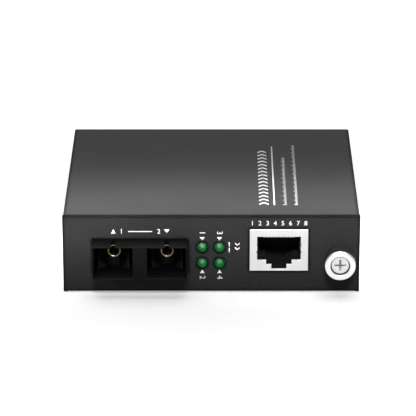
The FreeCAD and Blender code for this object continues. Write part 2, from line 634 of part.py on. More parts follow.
def make_base_tray():
    """One folded sheet: floor, front panel, rear flange and two low side lips."""
    body = new_body("base_tray")
    side_view = [
        (FRONT, "0"), (REAR, "0"), (REAR, FLANGE_TOP), (FLANGE_FACE, FLANGE_TOP),
        (FLANGE_FACE, "tray_sheet"), (PANEL_BACK, "tray_sheet"),
        (PANEL_BACK, "panel_height"), (FRONT, "panel_height"),
    ]
    extrude(body, "Pad", "fold", "x", [side_view], f"-{LIP_OUT}", LIP_OUT)
    inner_low = worth("tray_sheet")
    outer_ends = (worth(FRONT), worth(REAR))
    inner_ends = (worth(PANEL_BACK), worth(FLANGE_FACE))

    def bend_at(ends, height):
        return lambda box: (
            box.XLength > 1 and box.ZLength < 0.01 and abs(box.ZMin - height) < 0.01
            and box.YLength < 0.01 and any(abs(box.YMin - end) < 0.01 for end in ends)
        )

    finish_edges(body, "Fillet", "outer_bends", "bend_outside", bend_at(outer_ends, 0))
    finish_edges(body, "Fillet", "inner_bends", "bend_inside", bend_at(inner_ends, inner_low))
    panel = [
        (f"-{PANEL_SIDE}", "0"), (f"-{LIP_OUT}", "0"), (f"-{LIP_OUT}", "bend_outside"),
        (LIP_OUT, "bend_outside"), (LIP_OUT, "0"), (PANEL_SIDE, "0"),
        (PANEL_SIDE, "panel_height"), (f"-{PANEL_SIDE}", "panel_height"),
    ]
    extrude(body, "Pad", "panel_ears", "y", [panel], FRONT, PANEL_BACK)
    notches = [
        rectangle(across, along)
        for across in (
            (f"-{LIP_OUT}", f"(relief_depth - {LIP_OUT})"), (f"({LIP_OUT} - relief_depth)", LIP_OUT),
        )
        for along in (
            (PANEL_BACK, f"({PANEL_BACK} + corner_relief)"),
            (f"({FLANGE_FACE} - corner_relief)", FLANGE_FACE),
        )
    ]
    extrude(body, "Pocket", "corner_reliefs", "z", notches, "0", "tray_sheet + bend_inside")
    lips = [
        rectangle(across, ("0", "lip_height"))
        for across in ((f"-{LIP_OUT}", f"-{LIP_IN}"), (LIP_IN, LIP_OUT))
    ]
    lip_ends = (f"({PANEL_BACK} + corner_relief)", f"({FLANGE_FACE} - corner_relief)")
    extrude(body, "Pad", "lips", "y", lips, *lip_ends)
    lip_side = worth(LIP_OUT)
    finish_edges(
        body, "Fillet", "lip_bends", "bend_outside",
        lambda box: box.YLength > 30 and box.ZMax < 0.01 and abs(abs(box.XMin) - lip_side) < 0.01,
    )
    lights = [
        ((x, z), "light_radius + light_play")
        for x in row(LIGHTS_X, "light_columns", "2") for z in LIGHT_ROW_Z
    ]
    fittings = [
        rectangle(
            (f"({BLOCK_LEFT} - cutout_play)", f"({BLOCK_RIGHT} + cutout_play)"),
            (f"({BOARD_TOP} - cutout_play)", f"({BLOCK_TOP} + cutout_play)"),
        ),
        rectangle(
            (f"({JACK_LEFT} - cutout_play)", f"({JACK_RIGHT} + cutout_play)"),
            (f"({JACK_BASE} - cutout_play)", f"({JACK_TOP} + cutout_play)"),
        ),
        ((SCREW_X, "screw_height"), "sleeve_shank + thread_play"),
    ]
    extrude(body, "Pocket", "panel_cutouts", "y", fittings + lights, FRONT, PANEL_BACK)
    rear_holes = [
        ((POWER_X, POWER_Z), "nose_radius + nose_play"),
        ((SCREW_X, "screw_height"), "screw_radius + rear_hole_play"),
    ]
    extrude(body, "Pocket", "rear_holes", "y", rear_holes, FLANGE_FACE, REAR)
    thread = [(("0", "cover_screw_height"), "small_shank + thread_play")]
    extrude(body, "Pocket", "cover_screw_threads", "x", thread, f"-{LIP_OUT}", LIP_OUT)
    face, top, side = worth(FRONT), worth("panel_height"), worth(PANEL_SIDE)
    finish_edges(
        body, "Fillet", "panel_edges", "panel_edge_round",
        lambda box: box.YLength < 0.01 and abs(box.YMin - face) < 0.01 and (
            (box.XLength > 60 and box.ZMin > top - 0.01)
            or (box.ZLength > 10 and abs(abs(box.XMin) - side) < 0.01)
        ),
    )
    return body


def make_top_cover():
    """A folded cover: a roof and two sides, with vent slots and a countersunk hole in each side."""
    body = new_body("top_cover")
    front_view = [
        (f"-{COVER_SIDE}", "cover_hem_gap"), (f"-{COVER_INNER}", "cover_hem_gap"),
        (f"-{COVER_INNER}", COVER_ROOF), (COVER_INNER, COVER_ROOF),
        (COVER_INNER, "cover_hem_gap"), (COVER_SIDE, "cover_hem_gap"),
        (COVER_SIDE, COVER_TOP), (f"-{COVER_SIDE}", COVER_TOP),
    ]
    extrude(body, "Pad", "fold", "y", [front_view], COVER_FRONT, REAR)

    def bend_at(side, height):
        return lambda box: (
            box.YLength > 30 and abs(box.ZMin - height) < 0.01 and box.ZLength < 0.01
            and abs(abs(box.XMin) - side) < 0.01
        )

    finish_edges(body, "Fillet", "outer_bends", "bend_outside", bend_at(worth(COVER_SIDE), worth(COVER_TOP)))
    finish_edges(body, "Fillet", "inner_bends", "bend_inside", bend_at(worth(COVER_INNER), worth(COVER_ROOF)))
    first_y = "(-vent_pitch * (vent_count - 1) / 2)"
    slot = rectangle(centred(first_y, "vent_width"), ("vent_base", "vent_base + vent_height"))
    vent = extrude(body, "Pocket", "vent", "x", [slot], f"-{COVER_SIDE}", COVER_SIDE)
    pattern(body, "vents", vent, "y", "vent_pitch", "vent_count")
    for side, sign in (("left", "-1"), ("right", "1")):
        cone = [
            ("0", f"{sign} * {COVER_SIDE}"), ("small_head + hole_play", f"{sign} * {COVER_SIDE}"),
            ("small_shank + hole_play", f"{sign} * {COVER_INNER}"), ("0", f"{sign} * {COVER_INNER}"),
        ]
        turn(body, "Groove", f"sink_{side}", "x", ("0", "cover_screw_height"), cone)
    return body


# ---------------------------------------------------------------- fasteners and board


def make_cover_screws():
    """Two flat-head screws, one through each side of the cover into the tray's lip."""
    screw = new_body("cover_screw")
    under = "(-1 * (cover_sheet + case_play + tray_sheet + cover_screw_reach))"
    outline = [
        ("0", under), ("small_shank", under), ("small_shank", "(-cover_sheet)"),
        ("small_head", "0"), ("0", "0"),
    ]
    turn(screw, "Revolution", "shape", "x", ("0", "0"), outline)
    places = [(f"{sign} * {COVER_SIDE}", "0", "cover_screw_height") for sign in ("1", "-1")]
    return copies("cover_screws", screw, places, [0, 180])


def hexagon(middle, flats):
    """Six corners of a hexagon from the width across its flats, with two flats square to the first axis."""
    half, rise = f"{flats} / 2", f"{flats} / 2 * {math.tan(math.radians(30)):.9f}"
    steps = [("", half, "-", rise), ("", half, "", rise), ("", "0", "", f"2 * {rise}"),
             ("-", half, "", rise), ("-", half, "-", rise), ("", "0", "-", f"2 * {rise}")]
    return [
        (f"{middle[0]} + {across_sign}1 * {across}", f"{middle[1]} + {up_sign}1 * {up}")
        for across_sign, across, up_sign, up in steps
    ]


def make_board_standoffs():
    """Three threaded hexagonal standoffs, welded to the tray's floor."""
    post = new_body("standoff")
    extrude(post, "Pad", "hexagon", "z", [hexagon(("0", "0"), "standoff_flats")], "0", "board_lift")
    bore = [(("0", "0"), "small_shank + thread_play")]
    extrude(post, "Pocket", "thread", "z", bore, "0", "board_lift")
    return copies("board_standoffs", post, [(x, y, "tray_sheet") for x, y in POSTS])


def make_board_screws():
    """Three pan-head screws that hold the board on its standoffs."""
    screw = new_body("board_screw")
    outline = [
        ("0", "(-board_screw_length)"), ("small_shank", "(-board_screw_length)"), ("small_shank", "0"),
        ("small_head", "0"), ("small_head", "pan_height"), ("0", "pan_height"),
    ]
    turn(screw, "Revolution", "shape", "z", ("0", "0"), outline)
    return copies("board_screws", screw, [(x, y, BOARD_TOP) for x, y in POSTS])


def light_lead_places():
    """Where the lights' leads go down through the board: x across, y for each row of lights."""
    xs = [
        f"({column} + {sign} * lead_pitch / 2)"
        for column in row(LIGHTS_X, "light_columns", "2") for sign in ("-1", "1")
    ]
    lower_y = f"({HOLDER_REAR} + lead_back)"
    return xs, (lower_y, f"({lower_y} + lead_step)")


def make_main_board():
    """The main circuit board, with its screw holes and the holes of what is soldered through it."""
    body = new_body("main_board")
    plan = rectangle((BOARD_LEFT, BOARD_RIGHT), (BOARD_FRONT, BOARD_REAR))
    extrude(body, "Pad", "sheet", "z", [plan], BOARD_BASE, BOARD_TOP)
    screws = [(spot, "small_shank + hole_play") for spot in POSTS]
    legs = [
        rectangle(
            centred(x, "shield_sheet + 2 * leg_play"), centred(SHIELD_LEG_Y, "leg_width + 2 * leg_play")
        )
        for x in SHIELD_LEG_XS
    ]
    lead_xs, lead_ys = light_lead_places()
    leads = [
        rectangle(centred(x, "lead_side + 2 * lead_play"), centred(y, "lead_side + 2 * lead_play"))
        for x in lead_xs for y in lead_ys
    ]
    strap_width = centred(POWER_X, "strap_width + 2 * strap_play")
    straps = [
        rectangle(strap_width, (f"({y} - strap_play)", f"({y} + strap_sheet + strap_play)"))
        for y in (POWER_STRAP_Y, BLADE_STRAP_Y)
    ]
    extrude(body, "Pocket", "holes", "z", screws + legs + leads + straps, BOARD_BASE, BOARD_TOP)
    first = row(JACK_X, "contact_pitch", "contact_count")[0]
    tail = rectangle(centred(first, "tail_hole"), centred(f"({TAIL_Y} + contact_thick / 2)", "tail_hole"))
    hole = extrude(body, "Pocket", "contact_hole", "z", [tail], BOARD_BASE, BOARD_TOP)
    pattern(body, "contact_holes", hole, "x", "contact_pitch", "contact_count")
    first = row(BLOCK_X, "pin_pitch", "pin_count")[0]
    pin = rectangle(centred(first, "pin_hole"), centred(MODULE_PINS_Y, "pin_hole"))
    hole = extrude(body, "Pocket", "module_hole", "z", [pin], BOARD_BASE, BOARD_TOP)
    pattern(body, "module_holes", hole, "x", "pin_pitch", "pin_count")
    return body


def make_insulator_sheet():
    """A film on the tray's floor, notched at three corners to pass between the standoffs."""
    body = new_body("insulator_sheet")
    wide = f"({LIP_IN} - film_margin)"
    left, right = f"({LEFT_POST_X} + {POST_CLEAR})", f"({RIGHT_POST_X} - {POST_CLEAR})"
    low, high = f"({PANEL_BACK} + film_margin)", f"({FLANGE_FACE} - film_margin)"
    ahead, behind = f"({FRONT_POST_Y} + {POST_CLEAR})", f"({REAR_POST_Y} - {POST_CLEAR})"
    plan = [
        (f"-{wide}", low), (right, low), (right, ahead), (wide, ahead), (wide, behind), (right, behind),
        (right, high), (left, high), (left, behind), (f"-{wide}", behind),
    ]
    extrude(body, "Pad", "sheet", "z", [plan], "tray_sheet", "tray_sheet + film_sheet")
    return body


# ---------------------------------------------------------------- duplex optical block and module


def make_sc_receptacle():
    """The moulded duplex receptacle: two square ports with keyways, and a collar behind the panel."""
    body = new_body("sc_receptacle")
    outside = rectangle((BLOCK_LEFT, BLOCK_RIGHT), (BOARD_TOP, BLOCK_TOP))
    extrude(body, "Pad", "block", "y", [outside], BLOCK_FACE, BLOCK_BACK)
    collar = rectangle(
        (f"({BLOCK_LEFT} - collar_over)", f"({BLOCK_RIGHT} + collar_over)"),
        (BOARD_TOP, f"({BLOCK_TOP} + collar_over)"),
    )
    extrude(body, "Pad", "collar", "y", [collar], PANEL_BACK, f"({PANEL_BACK} + collar_depth)")
    ports = [rectangle(centred(x, "port_width"), (PORT_FLOOR, PORT_ROOF)) for x in PORTS.values()]
    extrude(body, "Pocket", "ports", "y", ports, BLOCK_FACE, PORT_BACK)
    face, roof = worth(BLOCK_FACE), worth(BLOCK_TOP)
    side_low, side_high = worth(BLOCK_LEFT), worth(BLOCK_RIGHT)
    floor = worth(BOARD_TOP)
    finish_edges(
        body, "Chamfer", "port_mouths", "port_chamfer",
        lambda box: box.YLength < 0.01 and abs(box.YMin - face) < 0.01 and box.XMin > side_low + 0.1
        and box.XMax < side_high - 0.1 and box.ZMin > floor + 0.1 and box.ZMax < roof - 0.1,
    )
    keys = [
        rectangle(centred(x, "key_width"), (f"({PORT_ROOF} - port_chamfer)", BLOCK_TOP))
        for x in PORTS.values()
    ]
    extrude(body, "Pocket", "keyways", "y", keys, BLOCK_FACE, PORT_BACK)
    ferrules = [((x, PORT_Z), "ferrule_radius + ferrule_play") for x in PORTS.values()]
    wall_back = f"({PORT_BACK} + port_wall)"
    extrude(body, "Pocket", "ferrule_holes", "y", ferrules, PORT_BACK, wall_back)
    extrude(body, "Pocket", "can_chambers", "y", ports, wall_back, BLOCK_BACK)
    return body


def make_ferrule_sleeve(side):
    """A turned sleeve, pressed into the port wall, that guides the plug's ferrule."""
    body = new_body(f"{side}_ferrule_sleeve")
    outline = [
        ("ferrule_mouth", FERRULE_FACE), ("ferrule_radius", FERRULE_FACE), ("ferrule_radius", FERRULE_END),
        ("ferrule_bore", FERRULE_END), ("ferrule_bore", f"({FERRULE_FACE} + mouth_depth)"),
    ]
    turn(body, "Revolution", "shape", "y", (PORTS[side], PORT_Z), outline)
    return body


def make_latch_hooks(side):
    """The two latch hooks that hold the plug, moulded on one plate round the ferrule sleeve."""
    body = new_body(f"{side}_latch_hooks")
    x = PORTS[side]
    floor, roof = f"({PORT_FLOOR} + hook_play)", f"({PORT_ROOF} - hook_play)"
    plate = rectangle((f"({x} - hook_outer)", f"({x} + hook_outer)"), (floor, roof))
    extrude(body, "Pad", "plate", "y", [plate], PLATE_FACE, PORT_BACK)
    tip = f"({PLATE_FACE} - hook_reach)"
    barb = f"({tip} + hook_slant)"
    arms = []
    for sign in ("1", "-1"):
        steps = [
            ("hook_outer", PLATE_FACE), ("hook_outer", tip), ("hook_inner", barb),
            ("hook_inner", f"({barb} + hook_barb)"), ("(hook_outer - hook_arm)", f"({barb} + hook_barb)"),
            ("(hook_outer - hook_arm)", PLATE_FACE),
        ]
        arms.append([(f"({x} + {sign} * {across})", along) for across, along in steps])
    extrude(body, "Pad", "arms", "z", arms, floor, roof)
    hole = [((x, PORT_Z), "ferrule_radius + ferrule_play")]
    extrude(body, "Pocket", "sleeve_hole", "y", hole, PLATE_FACE, PORT_BACK)
    return body


def make_optical_can(name, side):
    """A laser or detector can behind its ferrule sleeve, with leads on both faces of the module's board."""
    x = PORTS[side]
    can_end = f"({FERRULE_END} + can_length)"
    pieces = [rod(name + "_cap", "can_radius", (FERRULE_END, can_end), x, PORT_Z)]
    lead_end = f"({BLOCK_BACK} + carrier_front + can_lead_lap)"
    upper = (CARRIER_TOP, f"({CARRIER_TOP} + can_lead)")
    lower = (f"({CARRIER_BASE} - can_lead)", CARRIER_BASE)
    for number, (shift, level) in enumerate(((-1, upper), (1, upper), (0, lower)), start=1):
        across = centred(f"({x} + {shift} * can_lead_pitch / 2)", "can_lead")
        pieces.append(block(f"{name}_lead_{number}", across, (f"({can_end} - can_lead)", lead_end), level))
    return fused(name, pieces)


def make_transceiver_housing():
    """The module's housing behind the block: a box open towards the block and the board."""
    body = new_body("transceiver_housing")
    left, right = f"({BLOCK_LEFT} + module_inset)", f"({BLOCK_RIGHT} - module_inset)"
    top = f"({BLOCK_TOP} - module_drop)"
    outside = rectangle((left, right), (BOARD_TOP, top))
    extrude(body, "Pad", "box", "y", [outside], BLOCK_BACK, MODULE_REAR)
    inside = rectangle(
        (f"({left} + module_wall)", f"({right} - module_wall)"), (BOARD_TOP, f"({top} - module_wall)")
    )
    extrude(body, "Pocket", "room", "y", [inside], BLOCK_BACK, f"({MODULE_REAR} - module_wall)")
    return body


def make_transceiver_board():
    """The small board inside the module."""
    body = new_body("transceiver_board")
    margin = "(module_inset + module_wall + carrier_gap)"
    plan = rectangle(
        (f"({BLOCK_LEFT} + {margin})", f"({BLOCK_RIGHT} - {margin})"),
        (f"({BLOCK_BACK} + carrier_front)", f"({MODULE_REAR} - module_wall - carrier_gap)"),
    )
    extrude(body, "Pad", "sheet", "z", [plan], CARRIER_BASE, CARRIER_TOP)
    return body


def make_transceiver_pins():
    """The module's row of nine pins, from its own board down through the main board."""
    side = centred("0", "pin_side")
    pin = block("module_pin", side, side, ("0", f"({CARRIER_BASE} - {PIN_TIP})"))
    return copies(
        "transceiver_pins", pin, [(x, MODULE_PINS_Y, PIN_TIP) for x in row(BLOCK_X, "pin_pitch", "pin_count")]
    )


# ---------------------------------------------------------------- shielded copper jack


def make_rj45_shield():
    """The folded shield: a face with a stepped mouth, a roof, two sides with legs, and two springs."""
    body = new_body("rj45_shield")
    outside = rectangle((JACK_LEFT, JACK_RIGHT), (JACK_BASE, JACK_TOP))
    extrude(body, "Pad", "box", "y", [outside], JACK_FACE, JACK_REAR)
    inside = rectangle(
        (f"({JACK_LEFT} + shield_sheet)", f"({JACK_RIGHT} - shield_sheet)"),
        (JACK_BASE, f"({JACK_TOP} - shield_sheet)"),
    )
    extrude(body, "Pocket", "room", "y", [inside], f"({JACK_FACE} + shield_sheet)", JACK_REAR)
    extrude(body, "Pocket", "mouth", "y", [socket_outline()], JACK_FACE, f"({JACK_FACE} + shield_sheet)")
    springs, slits = [], []
    for sign in ("1", "-1"):
        steps = [
            ("socket_width / 2", JACK_FACE), ("(socket_width / 2 - tab_bulge)", TAB_MIDDLE),
            ("socket_width / 2", TAB_END), ("(socket_width / 2 + shield_sheet)", TAB_END),
            ("(socket_width / 2 - tab_bulge + shield_sheet)", TAB_MIDDLE),
            ("(socket_width / 2 + shield_sheet)", JACK_FACE),
        ]
        springs.append([(f"({JACK_X} + {sign} * {across})", along) for across, along in steps])
        edge = f"({JACK_X} + {sign} * socket_width / 2)"
        ends = (edge, f"({edge} + {sign} * shield_sheet)")
        slits.append(rectangle(ends, (f"({TAB_BASE} - tab_slit)", TAB_BASE)))
        slits.append(rectangle(ends, (TAB_TOP, f"({TAB_TOP} + tab_slit)")))
    extrude(body, "Pocket", "spring_slits", "y", slits, JACK_FACE, f"({JACK_FACE} + shield_sheet)")
    extrude(body, "Pad", "springs", "z", springs, TAB_BASE, TAB_TOP)
    legs = [rectangle(centred(x, "shield_sheet"), centred(SHIELD_LEG_Y, "leg_width")) for x in SHIELD_LEG_XS]
    extrude(body, "Pad", "legs", "z", legs, PIN_TIP, JACK_BASE)
    return body


def make_rj45_insert():
    """The moulded insert: the stepped socket, a recess for the contacts, and feet on the board."""
    body = new_body("rj45_insert")
    margin = "(shield_sheet + jack_play)"
    face = f"({JACK_FACE} + {margin})"
    outside = rectangle(
        (f"({JACK_LEFT} + {margin})", f"({JACK_RIGHT} - {margin})"), (JACK_BASE, f"({JACK_TOP} - {margin})")
    )
    extrude(body, "Pad", "moulding", "y", [outside], face, JACK_REAR)
    extrude(body, "Pocket", "socket", "y", [socket_outline()], face, f"({JACK_FACE} + socket_depth)")
    pockets = [
        rectangle(
            (f"({JACK_X} + {sign} * socket_width / 2)",
             f"({JACK_X} + {sign} * (socket_width / 2 + shield_sheet + tab_room))"),
            (f"({TAB_BASE} - tab_slit)", f"({TAB_TOP} + tab_slit)"),
        )
        for sign in ("1", "-1")
    ]
    extrude(body, "Pocket", "spring_pockets", "y", pockets, face, f"({TAB_END} + tab_room)")
    chute = (f"({TAIL_Y} - recess_play)", f"({TAIL_Y} + contact_thick + recess_play)")
    recess_top = f"({SOCKET_ROOF} + contact_roof + contact_thick + recess_play)"
    recess = [
        (face, SOCKET_ROOF), (chute[0], SOCKET_ROOF), (chute[0], JACK_BASE), (chute[1], JACK_BASE),
        (chute[1], recess_top), (face, recess_top),
    ]
    span = "((contact_count - 1) * contact_pitch + contact_width + 2 * recess_play)"
    extrude(body, "Pocket", "contact_recess", "x", [recess], *centred(JACK_X, span))
    inner_left, inner_right = f"({JACK_LEFT} + {margin})", f"({JACK_RIGHT} - {margin})"
    feet = [
        rectangle((inner_left, f"({inner_left} + foot_width)"), (BOARD_FRONT, JACK_REAR)),
        rectangle((f"({inner_right} - foot_width)", inner_right), (BOARD_FRONT, JACK_REAR)),
    ]
    extrude(body, "Pad", "feet", "z", feet, BOARD_TOP, JACK_BASE)
    return body


def make_rj45_contacts():
    """Ten bent wires: a tail through the board, a run over the socket and a leg that slopes into it."""
    wire = new_body("jack_contact")
    bend = f"({JACK_FACE} + contact_sunk)"
    run = f"({SOCKET_ROOF} + contact_roof)"
    leg_end = f"({bend} + contact_reach)"
    leg_low = f"({SOCKET_ROOF} - contact_thick - contact_fall)"
    outline = [
        (TAIL_Y, PIN_TIP), (f"({TAIL_Y} + contact_thick)", PIN_TIP),
        (f"({TAIL_Y} + contact_thick)", f"({run} + contact_thick)"), (bend, f"({run} + contact_thick)"),
        (bend, f"({SOCKET_ROOF} - contact_thick)"), (leg_end, leg_low),
        (leg_end, f"({leg_low} + contact_thick)"),
        (f"({bend} + contact_thick)", SOCKET_ROOF), (f"({bend} + contact_thick)", run), (TAIL_Y, run),
    ]
    extrude(wire, "Pad", "wire", "x", [outline], *centred("0", "contact_width"))
    places = [(x, "0", "0") for x in row(JACK_X, "contact_pitch", "contact_count")]
    return copies("rj45_contacts", wire, places)


# ---------------------------------------------------------------- indicator lights


def make_lights():
    """Four lights, each a round lens whose nose narrows in two steps."""
    names = (("led_fibre", "led_power"), ("led_copper", "led_speed"))
    outline = [
        ("0", LENS_TIP), ("light_tip", f"({LENS_TIP} + light_crown)"),
        ("light_radius", f"({LENS_TIP} + light_nose)"), ("light_radius", LIGHT_END), ("0", LIGHT_END),
    ]
    lights = []
    for column, x in zip(names, row(LIGHTS_X, "light_columns", "2")):
        for name, z in zip(column, reversed(LIGHT_ROW_Z)):
            body = new_body(name)
            turn(body, "Revolution", "lens", "y", (x, z), outline)
            lights.append(body)
    return lights


def make_led_holder():
    """The moulded holder behind the panel, with a slot for each pair of leads."""
    body = new_body("led_holder")
    top = f"({LIGHT_ROW_Z[1]} + holder_over)"
    outside = rectangle(centred(LIGHTS_X, "holder_width"), (BOARD_TOP, top))
    extrude(body, "Pad", "moulding", "y", [outside], LIGHT_END, HOLDER_REAR)
    slot_top = f"({LIGHT_ROW_Z[1]} + lead_side / 2 + lead_play)"
    lead_xs, lead_ys = light_lead_places()
    slots = [rectangle(centred(x, "lead_side + 2 * lead_play"), (BOARD_TOP, slot_top)) for x in lead_xs]
    extrude(body, "Pocket", "lead_slots", "y", slots, LIGHT_END, HOLDER_REAR)
    return body


def make_led_leads():
    """Eight leads, straight back from the lights and down through the board."""
    lead_xs, lead_ys = light_lead_places()
    wires = []
    for name, down_y, z in zip(("lower_lead", "upper_lead"), lead_ys, LIGHT_ROW_Z):
        wire = new_body(name)
        top, under = f"({z} + lead_side / 2)", f"({z} - lead_side / 2)"
        back, ahead = f"({down_y} + lead_side / 2)", f"({down_y} - lead_side / 2)"
        outline = [
            (LIGHT_END, under), (LIGHT_END, top), (back, top),
            (back, PIN_TIP), (ahead, PIN_TIP), (ahead, under),
        ]
        extrude(wire, "Pad", "wire", "x", [outline], *centred("0", "lead_side"))
        wires.append(copies(name + "s", wire, [(x, "0", "0") for x in lead_xs]))
    made = doc.addObject("Part::Compound", "led_leads")
    made.Links = wires
    made.Label = "led_leads"
    return made


# ---------------------------------------------------------------- captive fixing screw


def make_screw_sleeve():
    """The turned sleeve round the screw's head: its shank is pressed into the panel."""
    body = new_body("screw_sleeve")
    outline = [
        ("sleeve_bore", RING_BACK), ("sleeve_radius", RING_BACK), ("sleeve_radius", FRONT),
        ("sleeve_shank", FRONT), ("sleeve_shank", SLEEVE_END), ("screw_radius + screw_play", SLEEVE_END),
        ("screw_radius + screw_play", BORE_FLOOR), ("sleeve_bore", BORE_FLOOR),
    ]
    turn(body, "Revolution", "shape", "y", (SCREW_X, "screw_height"), outline)
    return body


def make_sleeve_face_ring():
    """The bright ring on the sleeve's end, with its outer edge broken."""
    body = new_body("sleeve_face_ring")
    broken = f"({SLEEVE_FACE} + ring_chamfer)"
    outline = [
        ("sleeve_bore", SLEEVE_FACE), ("sleeve_radius - ring_chamfer", SLEEVE_FACE),
        ("sleeve_radius", broken),
        ("sleeve_radius", RING_BACK), ("sleeve_bore", RING_BACK),
    ]
    turn(body, "Revolution", "shape", "y", (SCREW_X, "screw_height"), outline)
    return body


def make_captive_screw():
    """The long screw: a sunk head with a cross recess, a slim shaft and a thread at its tip."""
    body = new_body("captive_screw")
    outline = [
        ("0", HEAD_FACE), ("head_radius", HEAD_FACE), ("head_radius", HEAD_BACK),
        ("shaft_radius", HEAD_BACK), ("shaft_radius", f"({TIP} - thread_length)"),
        ("screw_radius", f"({TIP} - thread_length)"), ("screw_radius", f"({TIP} - tip_chamfer)"),
        ("screw_radius - tip_chamfer", TIP), ("0", TIP),
    ]
    turn(body, "Revolution", "shape", "y", (SCREW_X, "screw_height"), outline)
    recess = cross((SCREW_X, "screw_height"), "cross_span", "cross_width")
    extrude(body, "Pocket", "recess", "y", [recess], HEAD_FACE, f"({HEAD_FACE} + cross_depth)")
    return body


def make_spring_washer():
    """The washer between the screw's head and its spring."""
    body = new_body("spring_washer")
    outline = [
        ("screw_radius + washer_play", WASHER_FACE), ("washer_radius", WASHER_FACE),
        ("washer_radius", WASHER_BACK), ("screw_radius + washer_play", WASHER_BACK),
    ]
    turn(body, "Revolution", "shape", "y", (SCREW_X, "screw_height"), outline)
    return body


def make_retaining_clip():
    """The clip pushed onto the screw behind the sleeve, which keeps the screw captive."""
    body = new_body("retaining_clip")
    outline = [
        ("shaft_radius", CLIP_FACE), ("clip_radius", CLIP_FACE),
        ("clip_radius", CLIP_BACK), ("shaft_radius", CLIP_BACK),
    ]
    turn(body, "Revolution", "shape", "y", (SCREW_X, "screw_height"), outline)
    return body


def make_screw_spring():
    """The coil spring in the sleeve: square wire swept along short straight stretches of a helix."""
    start = worth(f"{WASHER_BACK} + stack_gap + wire_radius")
    end = worth(f"{BORE_FLOOR} - stack_gap - wire_radius")
    bends, radius, half = round(worth("coil_bends")), worth("coil_radius"), worth("wire_radius")
    stretches = round(worth("coil_turns") * bends)
    path = []
    for step in range(stretches + 1):
        angle = 2 * math.pi * step / bends
        along = start + (end - start) * step / stretches
        path.append(V(radius * math.cos(angle), along, radius * math.sin(angle)))
    wire = [V(radius + across, start + along, 0) for across, along in (
        (half, half), (-half, half), (-half, -half), (half, -half), (half, half))]
    spring = doc.addObject("Part::Feature", "screw_spring")
    spring.Label = "screw_spring"
    spring.Shape = Part.makePolygon(path).makePipeShell([Part.makePolygon(wire)], True, True, 1)
    bind(spring, ".Placement.Base.x", SCREW_X)
    bind(spring, ".Placement.Base.z", "screw_height")
    return spring


# ---------------------------------------------------------------- power inlet


def make_dc_jack_body():
    """The moulded power inlet: a box with a round nose, a bore and a slot for the side contact."""
    body = new_body("dc_jack_body")
    outside = rectangle(centred(POWER_X, "power_width"), (BOARD_TOP, f"({BOARD_TOP} + power_height)"))
    extrude(body, "Pad", "moulding", "y", [outside], POWER_FRONT, POWER_REAR)
    axis = (POWER_X, POWER_Z)
    extrude(body, "Pad", "nose", "y", [(axis, "nose_radius")], POWER_REAR, NOSE_END)
    extrude(body, "Pocket", "bore", "y", [(axis, "bore_radius")], BORE_END, NOSE_END)
    extrude(body, "Pocket", "pin_seat", "y", [(axis, "root_radius")], f"({BORE_END} - pin_root)", BORE_END)
    slot = [
        (f"({BLADE_STRAP_Y} - strap_play)", BOARD_TOP),
        (f"({NOSE_END} - blade_short + strap_play)", BOARD_TOP),
        (f"({NOSE_END} - blade_short + strap_play)", POWER_Z),
        (f"({BLADE_STRAP_Y} - strap_play)", POWER_Z),
    ]
    extrude(body, "Pocket", "blade_slot", "x", [slot], *centred(POWER_X, "strap_width + 2 * strap_play"))
    pin_slot = [
        (f"({POWER_STRAP_Y} - strap_play)", BOARD_TOP), (f"({BORE_END} - pin_root)", BOARD_TOP),
        (f"({BORE_END} - pin_root)", f"({POWER_Z} + root_radius + strap_play)"),
        (f"({POWER_STRAP_Y} - strap_play)", f"({POWER_Z} + root_radius + strap_play)"),
    ]
    extrude(body, "Pocket", "pin_slot", "x", [pin_slot], *centred(POWER_X, "strap_width + 2 * strap_play"))
    return body


def make_dc_jack_pin():
    """The inlet's centre pin, with a strap down through the board."""
    pin = rod("inlet_pin", "centre_pin", (BORE_END, f"({NOSE_END} - pin_short)"), POWER_X, POWER_Z)
    root = rod("inlet_pin_root", "root_radius", (f"({BORE_END} - pin_root)", BORE_END), POWER_X, POWER_Z)
    strap = block(
        "inlet_pin_strap", centred(POWER_X, "strap_width"),
        (POWER_STRAP_Y, f"({POWER_STRAP_Y} + strap_sheet)"),
        (PIN_TIP, f"({POWER_Z} + root_radius)"),
    )
    return fused("dc_jack_pin", [pin, root, strap])


def make_dc_jack_contact():
    """The inlet's side contact: a blade along the bore's floor and a strap down through the board."""
    body = new_body("dc_jack_contact")
    blade_end = f"({NOSE_END} - blade_short)"
    outline = [
        (BLADE_STRAP_Y, PIN_TIP), (f"({BLADE_STRAP_Y} + strap_sheet)", PIN_TIP),
        (f"({BLADE_STRAP_Y} + strap_sheet)", BLADE_Z), (blade_end, BLADE_Z),
        (blade_end, f"({BLADE_Z} + strap_sheet)"), (BLADE_STRAP_Y, f"({BLADE_Z} + strap_sheet)"),
    ]
    extrude(body, "Pad", "blade", "x", [outline], *centred(POWER_X, "strap_width"))
    return body


# ---------------------------------------------------------------- parts on the board


def make_plain_part(name, x, y, z):
    """A moulded or canned part: one block with its own label."""
    made = block(name, x, y, z)
    made.Label = name
    return made


def make_wing_leads(name, middle, width, depth, count, pitch, sides):
    """Bent leads in a row on the given sides of a chip, each with a foot on the board."""
    lead = new_body(name + "_one")
    knee = "(wing_out - wing_foot)"
    outline = [
        ("0", "wing_root"), ("0", "wing_root + wing_sheet"), (knee, "wing_sheet"), ("wing_out", "wing_sheet"),
        ("wing_out", "0"), (f"({knee} - wing_sheet)", "0"),
    ]
    extrude(lead, "Pad", "wing", "y", [outline], *centred("0", "wing_width"))
    places, turns = [], []
    for angle in sides:
        half = width if angle in (0, 180) else depth
        spread = row("0", pitch, count)
        for step in spread:
            out = f"({half} / 2)"
            opposite = f"-1 * {out}"
            shift = {0: (out, step), 90: (step, out), 180: (opposite, step), 270: (step, opposite)}[angle]
            places.append((f"{middle[0]} + {shift[0]}", f"{middle[1]} + {shift[1]}", BOARD_TOP))
            turns.append(angle)
    return copies(name, lead, places, turns)


